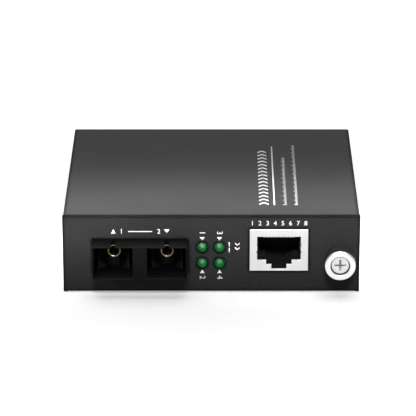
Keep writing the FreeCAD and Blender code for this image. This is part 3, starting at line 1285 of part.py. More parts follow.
def make_heat_sink():
    """The finned heat sink on the switch chip."""
    body = new_body("heat_sink")
    across = centred("switch_x", "sink_side")
    base = rectangle(across, centred("switch_y", "sink_side"))
    extrude(body, "Pad", "base", "z", [base], SINK_BASE, f"({SINK_BASE} + sink_base)")
    fin = rectangle((across[0], f"({across[0]} + fin_width)"), centred("switch_y", "sink_side"))
    fin_ends = (f"({SINK_BASE} + sink_base)", f"({SINK_BASE} + sink_tall)")
    first = extrude(body, "Pad", "fin", "z", [fin], *fin_ends)
    pattern(body, "fins", first, "x", "(sink_side - fin_width) / (fin_count - 1)", "fin_count")
    return body


def make_bulk_capacitors():
    """Two upright drum capacitors."""
    drum = new_body("drum_capacitor")
    extrude(drum, "Pad", "can", "z", [(("0", "0"), "drum_radius")], "0", "drum_tall")
    places = [(x, "drum_y", BOARD_TOP) for x in ("drum_x", "(drum_x + drum_pitch)")]
    return copies("bulk_capacitors", drum, places)


def make_power_inductor():
    """A moulded power inductor, with its upper edges broken."""
    body = new_body("power_inductor")
    plan = rectangle(centred("choke_x", "choke_side"), centred("choke_y", "choke_side"))
    top = f"({BOARD_TOP} + choke_tall)"
    extrude(body, "Pad", "moulding", "z", [plan], BOARD_TOP, top)
    height = worth(top)
    finish_edges(body, "Chamfer", "top_edges", "choke_edge", lambda box: box.ZMin > height - 0.01)
    return body


def make_regulator():
    """A flat power regulator: a moulded body with a metal tab at its back."""
    body = make_plain_part(
        "regulator_moulding", centred("reg_x", "reg_wide"), centred("reg_y", "reg_deep"),
        (BOARD_TOP, f"({BOARD_TOP} + reg_tall)"),
    )
    edge = "(reg_y + reg_deep / 2)"
    tab = block(
        "regulator_tab", centred("reg_x", "reg_wide * 0.8"), (edge, f"({edge} + reg_tab)"),
        (BOARD_TOP, f"({BOARD_TOP} + reg_tab_sheet)"),
    )
    return fused("regulator", [body, tab])


def make_chip_passives():
    """A row of small chip resistors."""
    chip = block("passive", centred("0", "passive_wide"), centred("0", "passive_deep"), ("0", "passive_tall"))
    places = [("passive_x", y, BOARD_TOP) for y in row("passive_y", "passive_pitch", "passive_count")]
    return copies("chip_passives", chip, places)


def chip_span(name, corner="side"):
    """A chip's spans along X, Y and Z from its named sizes."""
    wide, deep = (f"{name}_side", f"{name}_side") if corner == "side" else (f"{name}_wide", f"{name}_deep")
    return (
        centred(f"{name}_x", wide), centred(f"{name}_y", deep), (CHIP_BASE, f"({CHIP_BASE} + {name}_tall)")
    )


pad_base = f"({CHIP_BASE} + switch_tall)"
nodes = [
    make_base_tray(),
    make_top_cover(),
    make_cover_screws(),
    make_board_standoffs(),
    make_board_screws(),
    make_main_board(),
    make_insulator_sheet(),
    make_sc_receptacle(),
    make_ferrule_sleeve("tx"),
    make_ferrule_sleeve("rx"),
    make_latch_hooks("tx"),
    make_latch_hooks("rx"),
    make_optical_can("laser_can", "tx"),
    make_optical_can("detector_can", "rx"),
    make_transceiver_housing(),
    make_transceiver_board(),
    make_transceiver_pins(),
    make_rj45_shield(),
    make_rj45_insert(),
    make_rj45_contacts(),
    *make_lights(),
    make_led_holder(),
    make_led_leads(),
    make_screw_sleeve(),
    make_sleeve_face_ring(),
    make_captive_screw(),
    make_spring_washer(),
    make_retaining_clip(),
    make_screw_spring(),
    make_dc_jack_body(),
    make_dc_jack_pin(),
    make_dc_jack_contact(),
    make_plain_part(
        "lan_transformer", centred("coil_box_x", "coil_box_wide"), centred(COIL_BOX_Y, "coil_box_deep"),
        (CHIP_BASE, f"({CHIP_BASE} + coil_box_tall)"),
    ),
    make_wing_leads(
        "lan_transformer_pins", ("coil_box_x", COIL_BOX_Y), "coil_box_wide", "coil_box_deep",
        "coil_box_leads", "coil_box_pitch", (90, 270),
    ),
    make_plain_part("switch_chip", *chip_span("switch")),
    make_wing_leads(
        "switch_chip_leads", ("switch_x", "switch_y"), "switch_side", "switch_side",
        "switch_leads", "switch_pitch", (0, 90, 180, 270),
    ),
    make_plain_part(
        "thermal_pad", centred("switch_x", "pad_side"), centred("switch_y", "pad_side"), (pad_base, SINK_BASE)
    ),
    make_heat_sink(),
    make_plain_part("manager_chip", *chip_span("manager")),
    make_wing_leads(
        "manager_chip_leads", ("manager_x", "manager_y"), "manager_side", "manager_side",
        "manager_leads", "manager_pitch", (0, 180),
    ),
    make_plain_part("memory_chip", *chip_span("memory", "box")),
    make_plain_part(
        "crystal_can", centred("crystal_x", "crystal_wide"), centred("crystal_y", "crystal_deep"),
        (BOARD_TOP, f"({BOARD_TOP} + crystal_tall)"),
    ),
    make_bulk_capacitors(),
    make_power_inductor(),
    make_regulator(),
    make_chip_passives(),
]
doc.recompute()

# ---------------------------------------------------------------- checks and export

for thing in doc.Objects:
    if {"Invalid", "Error"} & set(thing.State):
        raise RuntimeError(f"{thing.Name} failed: {thing.State}")
for node in nodes:
    if node.Shape.isNull() or not node.Shape.isValid():
        raise RuntimeError(f"{node.Label} has no valid shape")

os.makedirs("parts", exist_ok=True)
for node in nodes:
    node.Shape.exportStep(f"parts/{node.Label}.step")
print(f"{len(nodes)} sub-parts written")
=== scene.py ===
import json
import math

import bmesh
import bpy
import numpy as np
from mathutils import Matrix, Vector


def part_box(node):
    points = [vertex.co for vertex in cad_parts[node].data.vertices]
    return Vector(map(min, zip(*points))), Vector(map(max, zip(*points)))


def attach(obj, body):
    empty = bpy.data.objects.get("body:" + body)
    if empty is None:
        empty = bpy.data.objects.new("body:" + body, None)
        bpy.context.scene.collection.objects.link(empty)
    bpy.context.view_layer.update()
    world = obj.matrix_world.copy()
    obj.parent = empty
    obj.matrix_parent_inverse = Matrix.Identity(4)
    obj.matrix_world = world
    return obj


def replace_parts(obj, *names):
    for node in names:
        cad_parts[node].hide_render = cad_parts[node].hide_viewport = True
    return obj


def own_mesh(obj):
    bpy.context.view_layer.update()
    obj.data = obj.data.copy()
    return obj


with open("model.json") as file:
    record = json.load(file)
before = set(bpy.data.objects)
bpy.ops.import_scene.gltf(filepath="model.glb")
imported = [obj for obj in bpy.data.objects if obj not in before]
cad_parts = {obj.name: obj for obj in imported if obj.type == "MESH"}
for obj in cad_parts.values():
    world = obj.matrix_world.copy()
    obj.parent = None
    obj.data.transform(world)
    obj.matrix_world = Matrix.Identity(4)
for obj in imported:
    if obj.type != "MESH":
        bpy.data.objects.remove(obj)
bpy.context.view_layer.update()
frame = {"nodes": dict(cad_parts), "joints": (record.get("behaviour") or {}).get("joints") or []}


# --- Base tray -----------------------------------------------------------------------------
# The tray is one folded sheet of steel: floor, front panel and rear flange. It is powder
# coated black all over after folding, and every other part is carried by it.

class Wire:
    """One output of a shader node. Ordinary maths on it adds Math nodes to the same material."""

    def __init__(self, socket):
        self.socket = socket

    def node(self, kind, settings, inputs, output=0):
        """Adds any node: its settings first, then the values or links of its sockets."""
        tree = self.socket.id_data
        node = tree.nodes.new(kind)
        for name, value in settings.items():
            setattr(node, name, value)
        for name, value in inputs.items():
            if isinstance(value, Wire):
                tree.links.new(value.socket, node.inputs[name])
            else:
                node.inputs[name].default_value = value
        return Wire(node.outputs[output]) if node.outputs else None

    def maths(self, operation, first, second):
        return self.node("ShaderNodeMath", {"operation": operation}, {0: first, 1: second})

    def __add__(self, other):
        return self.maths("ADD", self, other)

    __radd__ = __add__

    def __sub__(self, other):
        return self.maths("SUBTRACT", self, other)

    def __rsub__(self, other):
        return self.maths("SUBTRACT", other, self)

    def __mul__(self, other):
        return self.maths("MULTIPLY", self, other)

    __rmul__ = __mul__

    def __gt__(self, other):
        return self.maths("GREATER_THAN", self, other)

    def held(self, low, high):
        """The value, stretched so that low becomes 0 and high becomes 1, and held between them."""
        return self.node("ShaderNodeMapRange", {"clamp": True}, {0: self, 1: low, 2: high})

    def stretched(self):
        """A noise, which mostly stays between 0.3 and 0.7, stretched to run from 0 to 1."""
        return self.held(0.3, 0.7)

    def between(self, low, high):
        """A colour that runs from low to high as the value goes from 0 to 1."""
        return self.node("ShaderNodeMix", {"data_type": "RGBA"}, {0: self, 6: low, 7: high}, 2)

    def vector(self, operation, other=(0.0, 0.0, 0.0), output=0):
        """Vector maths; a length or a dot product comes out of the output "Value"."""
        return self.node("ShaderNodeVectorMath", {"operation": operation}, {0: self, 1: other}, output)

    def part(self, letter):
        """The X, Y or Z part of a vector."""
        return self.node("ShaderNodeSeparateXYZ", {}, {"Vector": self}, letter)


def begin(name):
    """A new material, and the wire that carries the place on the object into it."""
    material = bpy.data.materials.new(name)
    material.use_nodes = True
    material.node_tree.nodes.clear()
    start = material.node_tree.nodes.new("ShaderNodeTexCoord")
    return material, Wire(start.outputs["Object"])


def noise(place, size, detail=2.0, roughness=0.5):
    """Cloudy noise from 0 to 1 whose lumps are about the given size in metres."""
    inputs = {"Vector": place, "Scale": 1.0 / size, "Detail": detail, "Roughness": roughness}
    return place.node("ShaderNodeTexNoise", {}, inputs)


def facing(place):
    """The surface's own direction, with no rounding or bump."""
    return place.node("ShaderNodeNewGeometry", {}, {}, "Normal")


def rounded(place, radius):
    """The surface's direction, turned near an edge as if the edge had this radius in metres."""
    return place.node("ShaderNodeBevel", {"samples": 6}, {"Radius": radius})


def edges(place, smooth, start=0.02, full=0.3):
    """A value that rises from 0 on open faces to 1 along the edges that were rounded."""
    likeness = smooth.vector("DOT_PRODUCT", facing(place), "Value")
    return (1.0 - likeness).held(start, full)


def surface(place, colour, roughness, height, depth, smooth, **fixed):
    """Ends a material with one Principled surface; depth is the height's full swing in metres."""
    relief = {"Strength": 1.0, "Distance": depth, "Height": height, "Normal": smooth}
    bump = place.node("ShaderNodeBump", {}, relief)
    inputs = {"Base Color": colour, "Roughness": roughness, "Normal": bump}
    inputs.update({name.replace("_", " "): value for name, value in fixed.items()})
    shader = place.node("ShaderNodeBsdfPrincipled", {}, inputs)
    place.node("ShaderNodeOutputMaterial", {}, {"Surface": shader})


def grey(level, cool=0.0):
    """An opaque grey, with its blue raised a little where it is cool."""
    return (level, level, level + cool, 1.0)


def powder_coat(name, deep, pale, edge, specular):
    """Fine powder coat: grain of a third of a millimetre, broad mottling, and painted shade that darkens the
    rounded edges.
    """
    material, place = begin(name)
    grain = noise(place, size=0.00034, roughness=0.6)
    patches = noise(place, size=0.011, detail=3.0)
    smooth = rounded(place, 0.0003)
    # The edge colour is painted shade, laid along the rounded edges.
    painted_edge_shade = edges(place, rounded(place, 0.0013), start=0.003, full=0.03)
    coat = (0.8 * grain.stretched() + 0.2 * patches.stretched()).between(deep, pale)
    colour = painted_edge_shade.between(coat, edge)
    roughness = 0.5 + 0.08 * patches + 0.08 * grain + 0.3 * painted_edge_shade
    surface(place, colour, roughness, grain, 0.00003, smooth, Specular_IOR_Level=specular)
    return material


def dress(material, *names):
    """Gives CAD nodes their finish; their meshes stay as they were packed."""
    for name in names:
        piece = frame["nodes"][name]
        piece.data.materials.clear()
        piece.data.materials.append(material)


# The tray's rounded edges carry the painted edge shade.
tray_black = powder_coat(
    "black powder coat", deep=grey(0.0100), pale=grey(0.0255), edge=grey(0.0015), specular=0.08
)
dress(tray_black, "base_tray")


# --- Insulating film and standoffs ---------------------------------------------------------
# A polyester film lies on the tray's floor under the board. The threaded hexagonal standoffs
# are turned steel, nickel plated and welded to the floor; pan-head screws hold the board down.

def plated(name, deep, pale, roughness, brushed):
    """Plated or bare metal with fine drawn lines along X and faint stains."""
    material, place = begin(name)
    lines = place.node("ShaderNodeMapping", {}, {"Vector": place, "Scale": (0.12, 1.0, 1.0)})
    streaks = noise(lines, brushed, detail=3.0, roughness=0.6)
    stains = noise(place, size=0.003, detail=3.0)
    smooth = rounded(place, 0.00015)
    colour = (0.5 * streaks + 0.5 * stains).stretched().between(deep, pale)
    worn = roughness + 0.14 * streaks + 0.08 * stains
    surface(place, colour, worn, streaks, 0.000003, smooth, Metallic=1.0)
    return material


nickel = plated("nickel plate", (0.46, 0.44, 0.40, 1), (0.66, 0.64, 0.60, 1), roughness=0.2, brushed=0.00008)
dress(nickel, "board_standoffs", "board_screws")

film, film_place = begin("amber insulating film")
film_haze = noise(film_place, size=0.004, detail=4.0)
film_colour = film_haze.stretched().between((0.10, 0.075, 0.035, 1), (0.16, 0.12, 0.06, 1))
film_smooth = rounded(film_place, 0.0001)
surface(film_place, film_colour, 0.22 + 0.2 * film_haze, film_haze, 0.00003, film_smooth)
dress(film, "insulator_sheet")


# --- Circuit board -------------------------------------------------------------------------
# One glass-laminate board with green solder mask carries everything behind the panel. Copper
# tracks under the mask raise it a little, and small bare pads are tinned.

def circuit_board(name, mask, copper, cell=260.0, pitch=420.0):
    """Solder mask over tracks: bands in X and Y cut up by cells, with round pads on a grid. The
    cells and the pitch of bands and pads are counted per metre."""
    material, place = begin(name)
    cut_up = {"Vector": place, "Scale": cell}
    cells = place.node("ShaderNodeTexVoronoi", {"distance": "CHEBYCHEV"}, cut_up, "Color")
    pick = place.node("ShaderNodeSeparateColor", {}, {"Color": cells}) > 0.5
    bands = {}
    for side in ("X", "Y"):
        settings = {"bands_direction": side, "wave_profile": "SIN"}
        bands[side] = place.node("ShaderNodeTexWave", settings, {"Vector": place, "Scale": pitch}, 1)
    tracks = (pick * bands["X"] + (1.0 - pick) * bands["Y"]).held(0.62, 0.74)
    on_grid = {"Vector": place, "Scale": pitch, "Randomness": 0.35}
    dots = place.node("ShaderNodeTexVoronoi", {}, on_grid, "Distance")
    pads = 1.0 - dots.held(0.13, 0.17)
    smooth = rounded(place, 0.0001)
    raised = tuple(1.6 * level for level in mask[:3]) + (1,)
    colour = pads.between(tracks.between(mask, raised), copper)
    roughness = 0.34 - 0.1 * pads + 0.1 * noise(place, size=0.002)
    surface(place, colour, roughness, tracks + pads, 0.00003, smooth, Specular_IOR_Level=0.5)
    return material


board_green = circuit_board("green circuit board", (0.008, 0.055, 0.022, 1), (0.55, 0.50, 0.42, 1))
dress(board_green, "main_board", "transceiver_board")


# --- Parts on the board --------------------------------------------------------------------
# Chips and the transformer are moulded in black epoxy with tinned leads; the switch chip
# passes its heat through a soft pad to a black extruded sink. All are soldered to the board.

def moulding(name, deep, pale, grit, roughness, depth=0.000008, edge=0.0002, lift=0.5, **fixed):
    """Moulded plastic with a spark-eroded grain, and a painted highlight that lightens the rounded edges."""
    material, place = begin(name)
    grain = noise(place, grit, detail=3.0, roughness=0.6)
    flow = noise(place, size=0.009)
    smooth = rounded(place, edge)
    painted_edge_highlight = edges(place, smooth)
    # lift sets how strongly the painted edge highlight lightens the colour.
    colour = (0.5 * grain + 0.3 * flow + lift * painted_edge_highlight).held(0.25, 0.95).between(deep, pale)
    matt = roughness + 0.14 * (grain - 0.5) + 0.08 * flow
    surface(place, colour, matt, grain, depth, smooth, **fixed)
    return material


epoxy = moulding("chip epoxy", grey(0.008), grey(0.028), grit=0.00018, roughness=0.52)
dress(epoxy, "switch_chip", "manager_chip", "memory_chip", "power_inductor", "regulator", "lan_transformer")

tin = plated("matt tin plate", grey(0.50, -0.01), grey(0.70, -0.02), roughness=0.3, brushed=0.0001)
dress(tin, "switch_chip_leads", "manager_chip_leads", "lan_transformer_pins", "transceiver_pins", "led_leads")
dress(nickel, "crystal_can")

pad_grey = moulding(
    "silicone gap pad", (0.16, 0.18, 0.20, 1), (0.26, 0.28, 0.31, 1),
    grit=0.0004, roughness=0.75, depth=0.00003, edge=0.0003,
)
dress(pad_grey, "thermal_pad")

ceramic = moulding(
    "glazed ceramic", (0.20, 0.15, 0.10, 1), (0.36, 0.29, 0.21, 1),
    grit=0.0003, roughness=0.35, depth=0.000006, edge=0.0001,
)
dress(ceramic, "chip_passives")


def anodised(name, deep, pale, roughness):
    """Black anodised aluminium: dyed oxide over fine machining lines round the part, with a painted highlight
    that lightens the rounded edges.
    """
    material, place = begin(name)
    lines = place.node("ShaderNodeMapping", {}, {"Vector": place, "Scale": (0.08, 1.0, 1.0)})
    cut = noise(lines, size=0.0001, detail=3.0, roughness=0.6)
    smooth = rounded(place, 0.0002)
    painted_edge_highlight = edges(place, smooth)
    # Painted highlight: the rounded edges are lightened.
    colour = (0.6 * cut + 0.5 * painted_edge_highlight).held(0.2, 0.9).between(deep, pale)
    surface(place, colour, roughness + 0.12 * cut, cut, 0.000004, smooth, Metallic=0.35)
    return material


sink_black = anodised("black anodised fins", grey(0.010, 0.001), grey(0.035, 0.003), roughness=0.38)
dress(sink_black, "heat_sink")

BARE_TOP = 0.0004
can_sleeve, can_place = begin("capacitor sleeve")
can_grain = noise(can_place, size=0.0003)
can_bare = can_place.part("Z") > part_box("bulk_capacitors")[1].z - BARE_TOP
can_colour = can_bare.between((0.012, 0.014, 0.06, 1), grey(0.62))
can_smooth = rounded(can_place, 0.0004)
surface(
    can_place, can_colour, 0.32 + 0.1 * can_grain, can_grain, 0.000008, can_smooth, Metallic=can_bare
)
dress(can_sleeve, "bulk_capacitors")


# --- Optical receptacle --------------------------------------------------------------------
# Two square-body optical ports are moulded as one black block that stands through the panel.
# It is spark textured, with bevelled port mouths and a keyway slot in each roof.

def core_moulding(name, deep, pale, core, front, back):
    """Black moulding whose colour falls to a near-black painted shade between two places along Y, darkening
    the insides of the ports and everything further back.
    """
    material, place = begin(name)
    grain = noise(place, size=0.00022, detail=3.0, roughness=0.6)
    flow = noise(place, size=0.009)
    smooth = rounded(place, 0.00022)
    painted_edge_highlight = edges(place, smooth)
    skin = (0.5 * grain + 0.3 * flow + 0.7 * painted_edge_highlight).held(0.25, 0.95).between(deep, pale)
    painted_port_shade = place.part("Y").held(front, back)
    colour = painted_port_shade.between(skin, core)
    roughness = 0.42 + 0.14 * (grain - 0.5) + 0.08 * flow + 0.5 * painted_port_shade
    surface(place, colour, roughness, grain, 0.00001, smooth, Specular_IOR_Level=0.04)
    return material


# Painted shade: past these depths into the ports the block is near black. The parts behind the panel in this
# material, the module housing, the light holder and the inlet body, are near black all over.
PORT_SHADE_START = 0.0008
PORT_SHADE_FULL = 0.0060
block_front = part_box("sc_receptacle")[0].y
block_black = core_moulding(
    "black moulding with painted port shade", grey(0.0038, 0.0001), grey(0.0130, 0.0003), core=grey(0.0004),
    front=block_front + PORT_SHADE_START, back=block_front + PORT_SHADE_FULL,
)
dress(block_black, "sc_receptacle")

# The latch hooks carry a strong painted edge highlight.
hook_black = moulding(
    "latch hook moulding", grey(0.004, 0.0002), grey(0.016, 0.0005), grit=0.0003, roughness=0.34,
    depth=0.000006, edge=0.00025, lift=0.9, Specular_IOR_Level=0.05,
)
dress(hook_black, "tx_latch_hooks", "rx_latch_hooks")


# --- Ferrule sleeves and optical module ----------------------------------------------------
# Each port ends in a turned, gold-plated bronze sleeve with a rounded lip, whose bore is painted
# near black as shade down the hole; the laser and detector behind it are gold-plated cans in a
# module moulded in black.

dress(block_black, "transceiver_housing")


def windowed(name, node, window_radius):
    """Gold plate round a dark middle: the distance from the part's axis along Y picks which. On
    the cans the dark middle is their glass window; on the ferrule sleeves it is painted shade down the bore.
    """
    material, place = begin(name)
    low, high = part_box(node)
    across = place.vector("SUBTRACT", (low + high) / 2.0).vector("MULTIPLY", (1.0, 0.0, 1.0))
    plate = across.vector("LENGTH", output="Value") > window_radius
    stains = noise(place, size=0.0006, detail=3.0)
    bright = stains.stretched().between((0.62, 0.44, 0.19, 1), (0.84, 0.66, 0.36, 1))
    surface(
        place, plate.between(grey(0.003), bright), 0.24 + 0.1 * stains, stains, 0.000003,
        rounded(place, 0.00006), Metallic=plate, Specular_IOR_Level=0.05,
    )
    return material


WINDOW_RADIUS = 0.00145
dress(windowed("laser can gold", "laser_can", WINDOW_RADIUS), "laser_can")
dress(windowed("detector can gold", "detector_can", WINDOW_RADIUS), "detector_can")


def new_piece(name, points, faces, material, body, slot):
    """Makes one piece from whole arrays of points and faces, in place in the object's frame."""
    mesh = bpy.data.meshes.new(name)
    mesh.from_pydata(points.tolist(), [], faces.tolist() if hasattr(faces, "tolist") else faces)
    mesh.validate()
    mesh.materials.append(material)
    mesh.polygons.foreach_set("use_smooth", np.ones(len(mesh.polygons), bool))
    piece = bpy.data.objects.new(name, mesh)
    bpy.context.scene.collection.objects.link(piece)
    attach(piece, body)
    return piece


def grid_faces(rows, columns):
    """Quads between neighbouring points of a grid whose columns close into a ring."""
    row, column = np.meshgrid(np.arange(rows - 1), np.arange(columns), indexing="ij")
    after = (column + 1) % columns
    quads = np.stack([row * columns + column, row * columns + after,
                      (row + 1) * columns + after, (row + 1) * columns + column], axis=-1)
    return quads.reshape(-1, 4)


def turned(centre, profile, turns=64):
    """A turned surface about the Y axis: each (radius, along) pair goes round the circle,
    x = centre + radius cos a, z = centre + radius sin a, y = along. Radius 0 closes an end."""
    radius, along = np.array(profile).T
    angle = np.linspace(0.0, 2.0 * np.pi, turns, endpoint=False)
    x = centre[0] + radius[:, None] * np.cos(angle)
    z = centre[1] + radius[:, None] * np.sin(angle)
    y = np.broadcast_to(along[:, None], x.shape)
    points = np.stack([x, y, z], axis=-1).reshape(-1, 3)
    return points, grid_faces(len(radius), turns)


def closed(piece):
    """Merges the points that meet at the ends of a turned or swept surface, facing outwards."""
    work = bmesh.new()
    work.from_mesh(piece.data)
    bmesh.ops.remove_doubles(work, verts=work.verts, dist=1e-7)
    bmesh.ops.recalc_face_normals(work, faces=work.faces)
    work.to_mesh(piece.data)
    work.free()
    return piece


def sharp(piece, degrees):
    """Keeps edges that turn by more than this angle crisp, and the rest smooth."""
    piece.data.set_sharp_from_angle(angle=math.radians(degrees))
    return piece


def axis_of(node):
    """Where a part's own axis along Y lies, as (x, z): the middle of its box."""
    low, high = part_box(node)
    return (low.x + high.x) / 2.0, (low.z + high.z) / 2.0


def radius_of(node):
    """Half the width of a part's box."""
    low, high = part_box(node)
    return (high.x - low.x) / 2.0


def lipped(low, high, outside, lip_inside, bore):
    """A sleeve's profile: a half-circle lip at the front, r = outside - lip + lip cos a and
    y = low + lip - lip sin a for a half turn, then a short taper from the lip to the bore."""
    lip = (outside - lip_inside) / 2.0
    swing = np.linspace(0.0, np.pi, 13)
    nose = np.stack([outside - lip + lip * np.cos(swing), low + lip - lip * np.sin(swing)], axis=-1)
    taper_start, taper_end = low + 2.0 * lip, low + 2.4 * lip
    inside = [(lip_inside, taper_start), (bore, taper_end), (bore, high), (outside, high)]
    return np.vstack([nose, inside, nose[:1]])


FERRULE_BORE = 0.00126
LIP_INSIDE = 0.00142
# Inside this radius the sleeve is painted near black, as shade down the bore.
BORE_SHADE_RADIUS = LIP_INSIDE + 0.00002
for name in ("tx_ferrule_sleeve", "rx_ferrule_sleeve"):
    low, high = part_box(name)
    profile = lipped(low.y, high.y, radius_of(name), LIP_INSIDE, FERRULE_BORE)
    sleeve_gold = windowed(name.replace("_", " ") + " gold", name, BORE_SHADE_RADIUS)
    points, faces = turned(axis_of(name), profile, 96)
    sleeve = closed(new_piece(name + "_turning", points, faces, sleeve_gold, "case", "gold_bronze"))
    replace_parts(sharp(sleeve, 40), name)


# --- Copper socket -------------------------------------------------------------------------
# An eight-way shielded jack: a black moulded insert with gold-plated wires, in a shell folded
# from tinned bronze. The shell's side springs reach into the opening to earth the plug.

# Painted shade: from just behind its front face the shell's colour falls to a dark grey, inside the opening
# and all the way back.
SHELL_SHADE_START = 0.0003
SHELL_SHADE_FULL = 0.0006
shell_tin, shell_place = begin("tin shell with painted shade")
shell_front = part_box("rj45_shield")[0].y
shell_stains = noise(shell_place, size=0.004, detail=3.0)
shell_grain = noise(shell_place, size=0.0002)
shell_smooth = rounded(shell_place, 0.00015)
shell_face = (0.7 * shell_stains + 0.3 * shell_grain).stretched().between(grey(0.73), grey(0.79))
shell_painted_shade = shell_place.part("Y").held(shell_front + SHELL_SHADE_START, shell_front + SHELL_SHADE_FULL)
shell_colour = shell_painted_shade.between(shell_face, grey(0.16, -0.005))
shell_roughness = 0.3 + 0.1 * shell_stains + 0.2 * shell_painted_shade
surface(
    shell_place, shell_colour, shell_roughness, shell_grain, 0.000002, shell_smooth, Metallic=1.0
)
dress(shell_tin, "rj45_shield")

insert_black = moulding(
    "socket insert moulding", grey(0.004, 0.0002), grey(0.015, 0.0005), grit=0.00025, roughness=0.45,
    lift=0.6, Specular_IOR_Level=0.05,
)
dress(insert_black, "rj45_insert")

contact_gold = plated(
    "contact gold", (0.66, 0.50, 0.22, 1), (0.90, 0.74, 0.40, 1), roughness=0.22, brushed=0.00005
)


def softened(path, times=3):
    """Rounds a path's corners: each pass puts points a quarter and three quarters along each run."""
    for _ in range(times):
        quarter = 0.75 * path[:-1] + 0.25 * path[1:]
        beyond = 0.25 * path[:-1] + 0.75 * path[1:]
        middle = np.stack([quarter, beyond], axis=1).reshape(-1, 2)
        path = np.vstack([path[:1], middle[1:-1], path[-1:]])
    return path


def flat_wire(path, centre, wide, thick):
    """A flat wire along a path of (y, z) points, with its flat side across X: each section is
    centre -/+ wide / 2 in x and the path -/+ thick / 2 along the path's own normal."""
    run = np.gradient(path, axis=0)
    run /= np.linalg.norm(run, axis=1)[:, None]
    normal = np.stack([-run[:, 1], run[:, 0]], axis=1)
    corners = [(-1, -1), (1, -1), (1, 1), (-1, 1)]
    sections = [
        np.column_stack([np.full(len(path), centre + side * wide / 2.0), path + over * normal * thick / 2.0])
        for side, over in corners
    ]
    points = np.stack(sections, axis=1).reshape(-1, 3)
    ends = np.array([[3, 2, 1, 0], 4 * (len(path) - 1) + np.arange(4)])
    return points, np.vstack([grid_faces(len(path), 4), ends])


def together(*shapes):
    """Stacks several (points, faces) pairs into one."""
    points, faces, count = [], [], 0
    for shape_points, shape_faces in shapes:
        points.append(shape_points)
        faces.append(shape_faces + count)
        count += len(shape_points)
    return np.vstack(points), np.vstack(faces)


WIRE_COUNT = 10
WIRE_WIDE = 0.00045
WIRE_THICK = 0.00026
ROOF_DROP = 0.0011
CROWN_RISE = 0.0001
BEND_FORWARD = 0.00030
BEND_TOP = 0.00012
BEND_FOOT = 0.0004
LEG_REACH = 0.0072
LEG_FALL = 0.00225
wires_low, wires_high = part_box("rj45_contacts")
roof = wires_high.z - ROOF_DROP
tail_y = wires_high.y - WIRE_THICK / 2.0
run_z = wires_high.z - WIRE_THICK / 2.0
front_y = wires_low.y + WIRE_THICK / 2.0
bend_y = front_y - BEND_FORWARD
wire_path = softened(np.array([
    (tail_y, wires_low.z), (tail_y, run_z), (front_y, run_z), (front_y, roof + CROWN_RISE),
    (bend_y, roof - BEND_TOP), (bend_y, roof - BEND_FOOT), (wires_low.y + LEG_REACH, roof - LEG_FALL),
]))
wire_centres = np.linspace(wires_low.x + WIRE_WIDE / 2.0, wires_high.x - WIRE_WIDE / 2.0, WIRE_COUNT)
wires = together(*[flat_wire(wire_path, centre, WIRE_WIDE, WIRE_THICK) for centre in wire_centres])
socket_wires = closed(new_piece("rj45_formed_wires", *wires, contact_gold, "case", "gold_bronze"))
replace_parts(sharp(socket_wires, 40), "rj45_contacts")


# --- Indicator lights ----------------------------------------------------------------------
# Four round-nosed lights show through drilled holes in the panel, two by two. Each is cast in
# green-tinted epoxy, unlit. Its colour carries painted light, lighter green where it faces down
# and darker where it faces up, and a pale painted highlight on its upper half. A black moulded
# holder behind the panel spaces them.

LENS_PAINTED_GLOW_BELOW = (0.0, 0.128, 0.028, 1)
LENS_PAINTED_SHADE_ABOVE = (0.0, 0.098, 0.012, 1)
LENS_PAINTED_HIGHLIGHT = (0.115, 0.125, 0.10, 1)
PAINTED_HIGHLIGHT_FACING = (0.0, -0.77, 0.64)
lens, lens_place = begin("green lens with painted light")
lens_swirl = noise(lens_place, size=0.0012)
lens_facing = facing(lens_place)
# Painted light: the lens is lighter green where it faces down and darker where it faces up.
lens_painted_light = lens_facing.part("Z").held(-0.7, 0.5)
lens_tint_and_painted_light = (lens_painted_light + 0.2 * lens_swirl).held(0.05, 1.15).between(LENS_PAINTED_GLOW_BELOW, LENS_PAINTED_SHADE_ABOVE)
# Painted highlight: a pale grey patch where the nose faces up and forwards.
painted_highlight_mask = lens_facing.vector("DOT_PRODUCT", PAINTED_HIGHLIGHT_FACING, "Value").held(0.83, 0.97)
surface(
    lens_place, painted_highlight_mask.between(lens_tint_and_painted_light, LENS_PAINTED_HIGHLIGHT), 0.34 + 0.06 * lens_swirl, lens_swirl, 0.000001,
    lens_facing, Specular_IOR_Level=0.10,
)


def round_nosed(low, high, radius):
    """A light's profile: a quarter-circle nose, r = radius sin a and y = low + radius (1 - cos a),
    then a straight barrel to a flat back."""
    swing = np.linspace(0.0, np.pi / 2.0, 14)
    nose = np.stack([radius * np.sin(swing), low + radius * (1.0 - np.cos(swing))], axis=-1)
    return np.vstack([nose, [(radius, low + 1.2 * radius), (radius, high), (0.0, high)]])


for name in ("led_fibre", "led_copper", "led_power", "led_speed"):
    low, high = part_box(name)
    points, faces = turned(axis_of(name), round_nosed(low.y, high.y, radius_of(name)), 48)
    light = closed(new_piece(name + "_lens", points, faces, lens, "case", "green_lens"))
    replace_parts(sharp(light, 40), name)

dress(block_black, "led_holder")


# --- Fixing screw --------------------------------------------------------------------------
# A captive screw holds the module in its slot. It turns in a black anodised sleeve staked to
# the panel, whose bright turned ring rings the sunk cross head; a spring pushes it back out.

def turned_piece(name, centre, profile, material, slot):
    """One turned part of the case about the Y axis, closed, with its machined edges kept crisp."""
    points, faces = turned(centre, profile, 96)
    return sharp(closed(new_piece(name, points, faces, material, "case", slot)), 30)


BORE_RADIUS = 0.0026
RING_BORE = 0.00268
SHANK_RADIUS = 0.0032
HOLE_RADIUS = 0.00165
SLEEVE_FLOOR = 0.001
BREAK = 0.00012
RING_BREAK = 0.00025
axis = axis_of("sleeve_face_ring")
ring_radius = radius_of("sleeve_face_ring")
ring_front, ring_back = (corner.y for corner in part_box("sleeve_face_ring"))
sleeve_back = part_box("screw_sleeve")[1].y
panel_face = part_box("base_tray")[0].y

